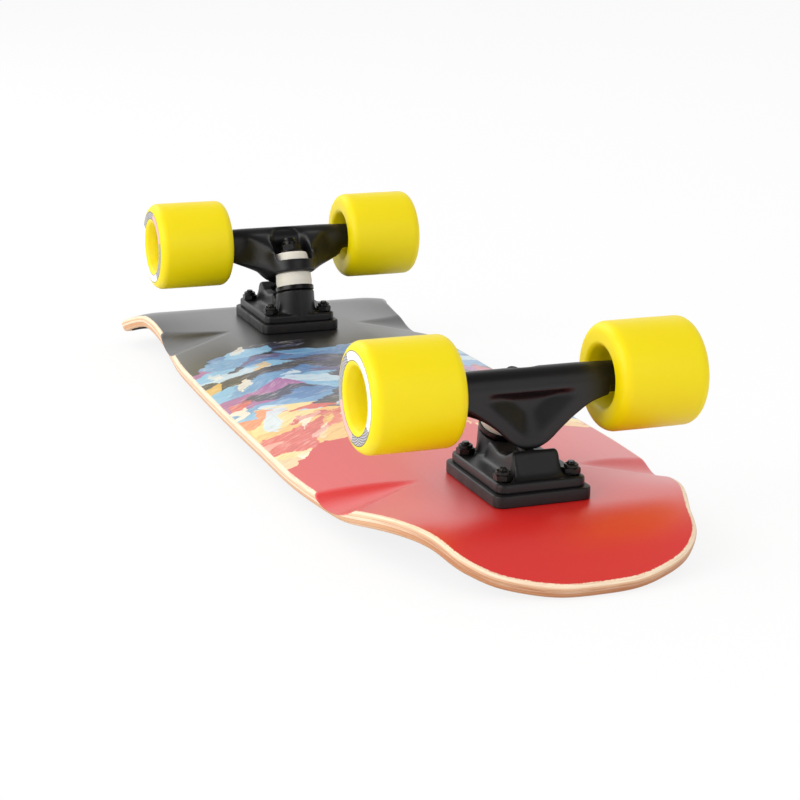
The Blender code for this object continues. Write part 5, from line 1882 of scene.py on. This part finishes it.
@dataclass(frozen=True)
class DeckForm:
    """Plan and heights of the deck, in millimetres from the narrow axle and the painted face."""

    wheelbase: float = 449.5
    narrow_end: tuple[Point, ...] = ((0.0, 105.5), (38.0, 100.0))
    narrow_side: tuple[Point, ...] = ((66.0, 82.0), (78.5, 52.0), (96.5, 4.0), (107.0, -66.0), (108.3, -165.0))
    wide_side: tuple[Point, ...] = ((105.2, -97.0), (98.2, 40.0), (108.5, 75.0))
    wide_end: tuple[Point, ...] = ((92.0, 84.5), (46.0, 93.0), (0.0, 95.0))
    curve_steps: int = 24
    row_crowding: float = 0.35
    concave: float = 8.5
    concave_flat: float = 45.0
    concave_half: float = 104.0
    fade_inside: float = 30.0
    concave_ends: tuple[float, float] = (33.0, 46.0)
    kick_starts: tuple[float, float] = (60.0, 63.5)
    kick_blends: tuple[float, float] = (25.0, 22.0)
    kick_slopes: tuple[float, float] = (0.45, 0.57)
    corner_droop: tuple[float, float, float] = (4.3, 82.0, 20.0)
    wells: tuple[tuple[float, float, float], ...] = ((50.0, 33.0, 45.0), (50.0, 28.5, 57.0))
    well_depth: float = 5.0
    well_shear: float = 0.1
    well_sides: tuple[float, float] = (1.25, 0.85)
    well_softness: float = 0.9

    def middle(self) -> float:
        """The board's middle, along from the narrow axle."""
        return (self.wheelbase + self.wide_end[-1][1] - self.narrow_end[0][1]) / 2

    def height(self, plan: np.ndarray) -> np.ndarray:
        """Height of the painted face, without its wells.

        Args:
            plan: Places, across and along from the narrow axle.

        Returns:
            Heights over the flat middle.
        """
        ends = (-plan[:, 1], plan[:, 1] - self.wheelbase)
        fade = np.ones(len(plan))
        drop = np.zeros(len(plan))
        shaped = zip(ends, self.concave_ends, self.kick_starts, self.kick_blends, self.kick_slopes)
        for beyond, end, start, blend, slope in shaped:
            share = np.clip((end - beyond) / (end + self.fade_inside), 0.0, 1.0)
            fade *= share * share * (3.0 - 2.0 * share)
            past = beyond - start
            bent = (past + blend) ** 2 / (4.0 * blend)
            drop += slope * np.where(past < -blend, 0.0, np.where(past < blend, bent, past))
        out = np.abs(plan[:, 0])
        rail = np.clip(out - self.concave_flat, 0.0, None) / (self.concave_half - self.concave_flat)
        depth, start, begin = self.corner_droop
        corner = np.clip((out - start) / (self.concave_half + 5.0 - start), 0.0, 1.3) ** 2
        share = np.clip((ends[1] - begin) / 45.0, 0.0, 1.0)
        return -self.concave * fade * rail ** 1.5 - drop - depth * corner * share * share * (3.0 - 2.0 * share)

    def normal(self, plan: np.ndarray) -> np.ndarray:
        """Direction square to the painted face.

        Args:
            plan: Places, across and along from the narrow axle.

        Returns:
            The direction at each place.
        """
        step = 0.05
        slopes = [(self.height(plan + shift) - self.height(plan - shift)) / (2 * step)
                  for shift in (np.array([step, 0.0]), np.array([0.0, step]))]
        raw = np.stack([-slopes[0], -slopes[1], np.ones(len(plan))], axis=1)
        return raw / np.linalg.norm(raw, axis=1)[:, None]

    def well_floor(self, points: np.ndarray) -> np.ndarray:
        """Height of the cones that the wells are sanded with.

        Args:
            points: Places with their heights.

        Returns:
            The cones' lower sides, or a great height outside them.
        """
        lowest = np.full(len(points), 1000.0)
        middles = (self.wells[0][1], self.wheelbase - self.wells[1][1])
        for middle, (tip, _, edge) in zip(middles, self.wells):
            run = self.concave_half - tip
            dip = math.atan2(self.well_depth + self.concave, run)
            corner = Vector((run, edge / 2, -self.concave)).normalized()
            lift = math.atan2(math.cos(dip) - corner.x, math.sin(dip) + corner.z)
            spread = math.cos(lift + dip) ** 2
            out = np.abs(points[:, 0]) - tip
            along = points[:, 1] - middle - self.well_shear * np.clip(out, 0.0, None)
            along = along * np.where(along > 0.0, *self.well_sides)
            first = math.sin(lift) ** 2 - spread
            second = 2.0 * out * math.sin(lift) * math.cos(lift)
            third = out ** 2 * math.cos(lift) ** 2 - spread * (out ** 2 + along ** 2)
            inside = second ** 2 - 4.0 * first * third
            low = (-second + np.sqrt(np.clip(inside, 0.0, None))) / (2.0 * first)
            lowest = np.where((inside >= 0.0) & (out > 0.0), np.minimum(lowest, low), lowest)
        return lowest

    def half_outline(self) -> np.ndarray:
        """Right half of the outline from tip to tip, drawn as a curve through its knots.

        Returns:
            Across and along of each point.
        """
        right = [(across, -beyond) for across, beyond in self.narrow_end + self.narrow_side]
        right += [(across, self.wheelbase + beyond) for across, beyond in self.wide_side + self.wide_end]
        knots = right + [(-across, along) for across, along in right[-2:0:-1]]
        curve = bpy.data.curves.new("outline", "CURVE")
        curve.dimensions = "2D"
        curve.resolution_u = self.curve_steps
        spline = curve.splines.new("BEZIER")
        spline.bezier_points.add(len(knots) - 1)
        for slot, (across, along) in zip(spline.bezier_points, knots):
            slot.co = (across, along, 0.0)
            slot.handle_left_type = slot.handle_right_type = "AUTO"
        spline.use_cyclic_u = True
        drawn = bpy.data.objects.new("outline", curve)
        bpy.context.scene.collection.objects.link(drawn)
        graph = bpy.context.evaluated_depsgraph_get()
        mesh = drawn.evaluated_get(graph).to_mesh()
        points = np.array([vertex.co[:2] for vertex in mesh.vertices])
        bpy.data.objects.remove(drawn, do_unlink=True)
        return points[:self.curve_steps * (len(right) - 1) + 1]


@dataclass(frozen=True)
class Shell:
    """A sheet that follows the deck's form between two depths, its rim rounded."""

    form: DeckForm
    top: float
    thickness: float
    inset: float
    rim: float
    columns: int
    rows: int
    rim_steps: int
    rim_samples: int = 3000
    paint_fall: float = 0.6

    @staticmethod
    def _resampled(points: np.ndarray, shares: np.ndarray) -> np.ndarray:
        """Places and outward directions at given shares of a line's length.

        Args:
            points: The line.
            shares: Shares of its length.

        Returns:
            Four numbers a place: across, along, and the outward direction.
        """
        tangent = np.gradient(points, axis=0)
        tangent /= np.linalg.norm(tangent, axis=1)[:, None]
        line = np.column_stack([points, tangent[:, 1], -tangent[:, 0]])
        steps = np.linalg.norm(np.diff(points, axis=0), axis=1)
        walked = np.concatenate([[0.0], np.cumsum(steps)]) / steps.sum()
        return np.stack([np.interp(shares, walked, line[:, column]) for column in range(4)], axis=1)

    def _borders(self) -> tuple[np.ndarray, np.ndarray, np.ndarray, np.ndarray]:
        """Cut the outline into the grid's four borders.

        Returns:
            The borders at the narrow end, the wide end, left and right.
        """
        form = self.form
        half = form.half_outline()
        low = len(form.narrow_end) * form.curve_steps
        high = low + (len(form.narrow_side + form.wide_side) - 1) * form.curve_steps
        flipped = (half * np.array([-1.0, 1.0]))[::-1]
        whole = np.concatenate([half, flipped[1:-1]])
        columns = np.linspace(0.0, 1.0, self.columns + 1)
        rows = np.linspace(0.0, 1.0, self.rows + 1)
        rows = rows - form.row_crowding * np.sin(2.0 * math.pi * rows) / (2.0 * math.pi)
        wrapped = np.concatenate([whole, whole, whole])
        count = len(whole)
        narrow = self._resampled(wrapped[count - low:count + low + 1], columns)
        wide = self._resampled(wrapped[count + high:2 * count - high + 1], columns)[::-1]
        right = self._resampled(wrapped[count + low - 1:count + high + 2][1:-1], rows)
        return narrow, wide, right * np.array([-1.0, 1.0, -1.0, 1.0]), right

    @staticmethod
    def _moved(border: np.ndarray, inset: float) -> np.ndarray:
        """A border moved inward."""
        return border[:, :2] - border[:, 2:] * inset

    def _grid(self, borders: Sequence[np.ndarray], inset: float) -> np.ndarray:
        """Places of the grid inside the borders, rows running across.

        Args:
            borders: The four borders.
            inset: How far inside them the grid ends.

        Returns:
            The places, row by row.
        """
        narrow, wide, left, right = (self._moved(border, inset) for border in borders)
        across = np.linspace(0.0, 1.0, self.columns + 1)[None, :, None]
        along = np.linspace(0.0, 1.0, self.rows + 1)[:, None, None]
        corners = ((1 - across) * (1 - along) * left[0] + across * (1 - along) * right[0]
                   + (1 - across) * along * left[-1] + across * along * right[-1])
        return ((1 - along) * narrow[None] + along * wide[None] + (1 - across) * left[:, None]
                + across * right[:, None] - corners)

    def _layer(self, share: float) -> tuple[float, float]:
        """Inset and depth of the rim's section at a share of its height.

        Args:
            share: 0 at the upper face, 1 at the lower one.

        Returns:
            How far inside the outline, and how deep under the upper face.
        """
        arc = self.rim * math.pi / 2
        total = 2 * arc + self.thickness - 2 * self.rim
        walked = share * total
        if walked < arc:
            turn = walked / self.rim
            return self.rim * (1 - math.sin(turn)), self.rim * (1 - math.cos(turn))
        if walked > total - arc:
            turn = (total - walked) / self.rim
            return self.rim * (1 - math.sin(turn)), self.thickness - self.rim * (1 - math.cos(turn))
        return 0.0, self.rim + walked - arc

    def _blank(self) -> Solid:
        """Model a flat blank: a grid, drawn down, with its sides cut into rings.

        Returns:
            The blank, one unit long, wide and thick.
        """
        Solid.deselect()
        bpy.ops.mesh.primitive_grid_add(x_subdivisions=self.columns, y_subdivisions=self.rows, size=1.0)
        blank = Solid.added()
        with blank.editing("FACE"):
            bpy.ops.mesh.extrude_region_move(TRANSFORM_OT_translate={"value": (0.0, 0.0, -1.0)})
        with blank.editing("EDGE"):
            blank.pick_edges(lambda edge: abs(edge.verts[0].co.z - edge.verts[1].co.z) > 0.5)
            bpy.ops.mesh.subdivide(number_cuts=self.rim_steps - 1)
            bpy.ops.mesh.select_all(action="SELECT")
            bpy.ops.mesh.normals_make_consistent(inside=False)
        return blank

    def build(self, wells: bool) -> Solid:
        """Model the sheet.

        Args:
            wells: Whether the wheel wells are sanded into its upper face.

        Returns:
            The sheet, with paint margin and ply depth kept as attributes.
        """
        form = self.form
        blank = self._blank()
        unit = blank.points()
        column = np.rint((unit[:, 0] + 0.5) * self.columns).astype(int)
        row = np.rint((unit[:, 1] + 0.5) * self.rows).astype(int)
        layer = np.rint(-unit[:, 2] * self.rim_steps).astype(int)
        borders = self._borders()
        plan = np.zeros((len(unit), 2))
        depth = np.zeros(len(unit))
        margin = np.full(len(unit), -20.0)
        for step in range(self.rim_steps + 1):
            inset, down = self._layer(step / self.rim_steps)
            held = layer == step
            plan[held] = self._grid(borders, self.inset + inset)[row[held], column[held]]
            depth[held] = self.top + down
            margin[held] = inset - self.rim - down * self.paint_fall if step else 0.0
        flat = layer == 0
        outline = form.half_outline()
        dense = self._resampled(outline, np.linspace(0.0, 1.0, self.rim_samples))[:, :2]
        tree = KDTree(len(dense))
        for index, (across, along) in enumerate(dense):
            tree.insert((across, along, 0.0), index)
        tree.balance()
        distances = [tree.find((abs(across), along, 0.0))[2] for across, along in plan[flat]]
        margin[flat] = np.array(distances) - self.rim
        points = np.column_stack([plan, form.height(plan)]) - form.normal(plan) * depth[:, None]
        if wells:
            floor = form.well_floor(points)
            soft = form.well_softness
            lap = np.clip(soft - np.abs(points[:, 2] - floor), 0.0, None) / soft
            sanded = np.minimum(points[:, 2], floor) - lap ** 2 * soft / 4.0
            cut = points[:, 2] - sanded
            points[:, 2] = sanded
            depth = depth + cut
            margin = np.where(depth < self.thickness - 0.05, np.maximum(margin, cut * 2.0 - 0.3), margin)
        points[:, 1] -= form.middle()
        blank.set_points(points)
        blank.note("paint_margin", margin).note("ply_depth", depth)
        with blank.editing():
            bpy.ops.mesh.remove_doubles(threshold=0.004)
        return blank


@dataclass(frozen=True)
class Board:
    """The deck and the grip sheet on its other face."""

    form: DeckForm = field(default_factory=DeckForm)
    thickness: float = 8.6
    edge_round: float = 2.9
    grip_inset: float = 5.6
    grip_depth: float = 8.62
    grip_thickness: float = 0.75
    grip_round: float = 0.3
    grip_hole: float = 5.0
    hole: float = 2.6
    hole_mouth: float = 4.95

    def _place(self) -> Matrix:
        """Matrix from the board's millimetres to the frame."""
        face = STATIONS[0].matrix() @ Vector((0.0, 0.0, Truck.pad_low))
        return Matrix.Translation((0.0, 0.0, face.z)) @ Matrix.Scale(MM, 4)

    def _drills(self, low: float, high: float, radius: float, mouth: float) -> Solid:
        """Cutter of the eight bolt holes.

        Args:
            low: Where they start, under the painted face.
            high: Where they end.
            radius: Their radius.
            mouth: Their radius at the start.

        Returns:
            One cutter.
        """
        drills = []
        for station in STATIONS:
            start = station.matrix()
            for across, along in Baseplate().bolts():
                spot = start @ Vector((across, along, 0.0))
                profile = [(0.0, low), (mouth, low), (mouth, low + 0.45), (radius, low + 2.8), (radius, high),
                           (0.0, high)]
                drills.append(Solid.turned(profile, 32).move(Matrix.Translation((spot.x / MM, spot.y / MM, 0.0))))
        return drills[0].gather(*drills[1:])

    def build(self) -> None:
        """Model the deck and its grip, and hang them on the board."""
        place = self._place()
        deck = Shell(self.form, top=0.0, thickness=self.thickness, inset=0.0, rim=self.edge_round,
                     columns=110, rows=320, rim_steps=12).build(wells=True)
        deck.cut(self._drills(-self.thickness - 0.1, 1.0, self.hole, self.hole_mouth)).dress(MAPLE, 40.0)
        deck.deliver("maple_deck", place, Slot.MAPLE, ("deck",), ("board",))
        grip = Shell(self.form, top=self.grip_depth, thickness=self.grip_thickness, inset=self.grip_inset,
                     rim=self.grip_round, columns=60, rows=180, rim_steps=6).build(wells=False)
        low = -self.grip_depth - self.grip_thickness - 1.0
        grip.cut(self._drills(low, 1.0, self.grip_hole, self.grip_hole)).dress(GRIT, 40.0)
        grip.deliver("grit_sheet", place, Slot.GRIP, ("grip_sheet",), ("board",))
        for solid in (deck, grip):
            solid.discard()


# ---------------------------------------------------------------- studio


@dataclass(frozen=True)
class Lamp:
    """A soft square lamp that looks at the board."""

    name: str
    place: tuple[float, float, float]
    size: float
    power: float

    def build(self) -> None:
        """Hang the lamp."""
        data = bpy.data.lights.new(self.name, "AREA")
        data.shape = "SQUARE"
        data.size = self.size
        data.energy = self.power
        lamp = bpy.data.objects.new(self.name, data)
        bpy.context.scene.collection.objects.link(lamp)
        lamp.location = self.place
        lamp.rotation_euler = (Vector((0.0, 0.0, 0.05)) - lamp.location).to_track_quat("-Z", "Y").to_euler()


@dataclass(frozen=True)
class Studio:
    """White floor, soft lamps and the camera."""

    lamps: tuple[Lamp, ...] = (
        Lamp("left", (-2.2, -0.5, 1.1), 2.0, 36.0),
        Lamp("front", (0.6, -2.3, 1.1), 1.8, 8.0),
        Lamp("back", (-1.0, 1.9, 1.7), 1.8, 18.0),
    )
    world_strength: float = 0.8
    dim_heights: tuple[float, float] = (0.45, 0.85)
    bright_sides: tuple[float, float] = (-0.35, 0.35)
    dim: float = 0.14
    floor_gap: float = 0.0004
    floor_size: float = 40.0
    floor_colour: Colour = (0.86, 0.86, 0.86, 1.0)
    floor_glow: tuple[float, float] = (0.85, 0.3)
    camera_place: tuple[float, float, float] = (-0.45515, -1.22057, 0.38060)
    yaw: float = -0.3632
    pitch: float = 0.2666
    roll: float = 0.0095
    lens: float = 91.85

    @staticmethod
    def _paths(web: NodeWeb) -> tuple[Signal, Signal]:
        """Mark how a ray is seen.

        Args:
            web: The nodes.

        Returns:
            1 if it is seen directly or through glass, and 1 if in a mirror.
        """
        path = web.add("ShaderNodeLightPath", output="Is Camera Ray")
        outputs = path.socket.node.outputs
        return path.at_least(Signal(web, outputs["Is Transmission Ray"])), Signal(web, outputs["Is Glossy Ray"])

    def floor(self) -> None:
        """Lay a white floor that keeps the board's shadow."""
        Solid.deselect()
        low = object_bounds()[0].z - self.floor_gap
        bpy.ops.mesh.primitive_plane_add(size=self.floor_size, location=(0.0, 6.0, low))
        floor = Solid.added().obj
        floor.name = "studio_floor"
        material = bpy.data.materials.new("studio_white")
        web = NodeWeb(material)
        web.wear(Base_Color=self.floor_colour, Roughness=0.9, Specular_IOR_Level=0.0)
        glow = web.add("ShaderNodeEmission", inputs={"Color": FULL, "Strength": 1.0})
        direct, mirrored = self._paths(web)
        share = direct * self.floor_glow[0] + mirrored * self.floor_glow[1]
        mixed = web.add("ShaderNodeMixShader", inputs={0: share, 1: Signal(web, web.shader.outputs[0]), 2: glow})
        output = web.tree.nodes["Material Output"]
        web.tree.links.new(mixed.socket, output.inputs["Surface"])
        floor.data.materials.append(material)
        floor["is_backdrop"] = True

    def world(self) -> None:
        """Surround the board with soft light that shows as white."""
        world = bpy.data.worlds.new("studio")
        bpy.context.scene.world = world
        web = NodeWeb(world)
        background = web.tree.nodes["Background"]
        _, along, height = web.split(web.add("ShaderNodeTexCoord", output="Generated"))
        direct, mirrored = self._paths(web)
        bright = along.ease(*self.bright_sides) * (1 - height.ease(*self.dim_heights))
        soft = (1 - direct - mirrored) * self.world_strength
        strength = direct + mirrored * bright.between(self.dim, 1.0) + soft
        background.inputs["Color"].default_value = FULL
        web.tree.links.new(strength.socket, background.inputs["Strength"])

    def camera(self) -> None:
        """Stand the camera where the photograph was taken from."""
        forward = Vector((-math.sin(self.yaw) * math.cos(self.pitch), math.cos(self.yaw) * math.cos(self.pitch),
                          -math.sin(self.pitch)))
        right = Vector((math.cos(self.yaw), math.sin(self.yaw), 0.0))
        up = right.cross(forward)
        level = Matrix((right, up, -forward)).transposed()
        data = bpy.data.cameras.new("camera")
        data.lens = self.lens
        data.sensor_width = 36.0
        data.clip_end = 60.0
        camera = bpy.data.objects.new("camera", data)
        bpy.context.scene.collection.objects.link(camera)
        camera.matrix_world = (Matrix.Translation(self.camera_place) @ level.to_4x4()
                               @ Matrix.Rotation(self.roll, 4, "Z"))
        bpy.context.scene.camera = camera

    def build(self) -> None:
        """Set up the whole studio."""
        bpy.context.scene.view_settings.view_transform = "Standard"
        self.floor()
        self.world()
        self.camera()
        for lamp in self.lamps:
            lamp.build()


def main() -> None:
    """Build the studio and every sub-assembly in order."""
    logging.basicConfig(level=logging.INFO, format="%(name)s %(message)s")
    for assembly in (Board(), Truck(), WheelSet(), Studio()):
        LOG.info("building %s", type(assembly).__name__)
        assembly.build()


if __name__ == "__main__":
    main()
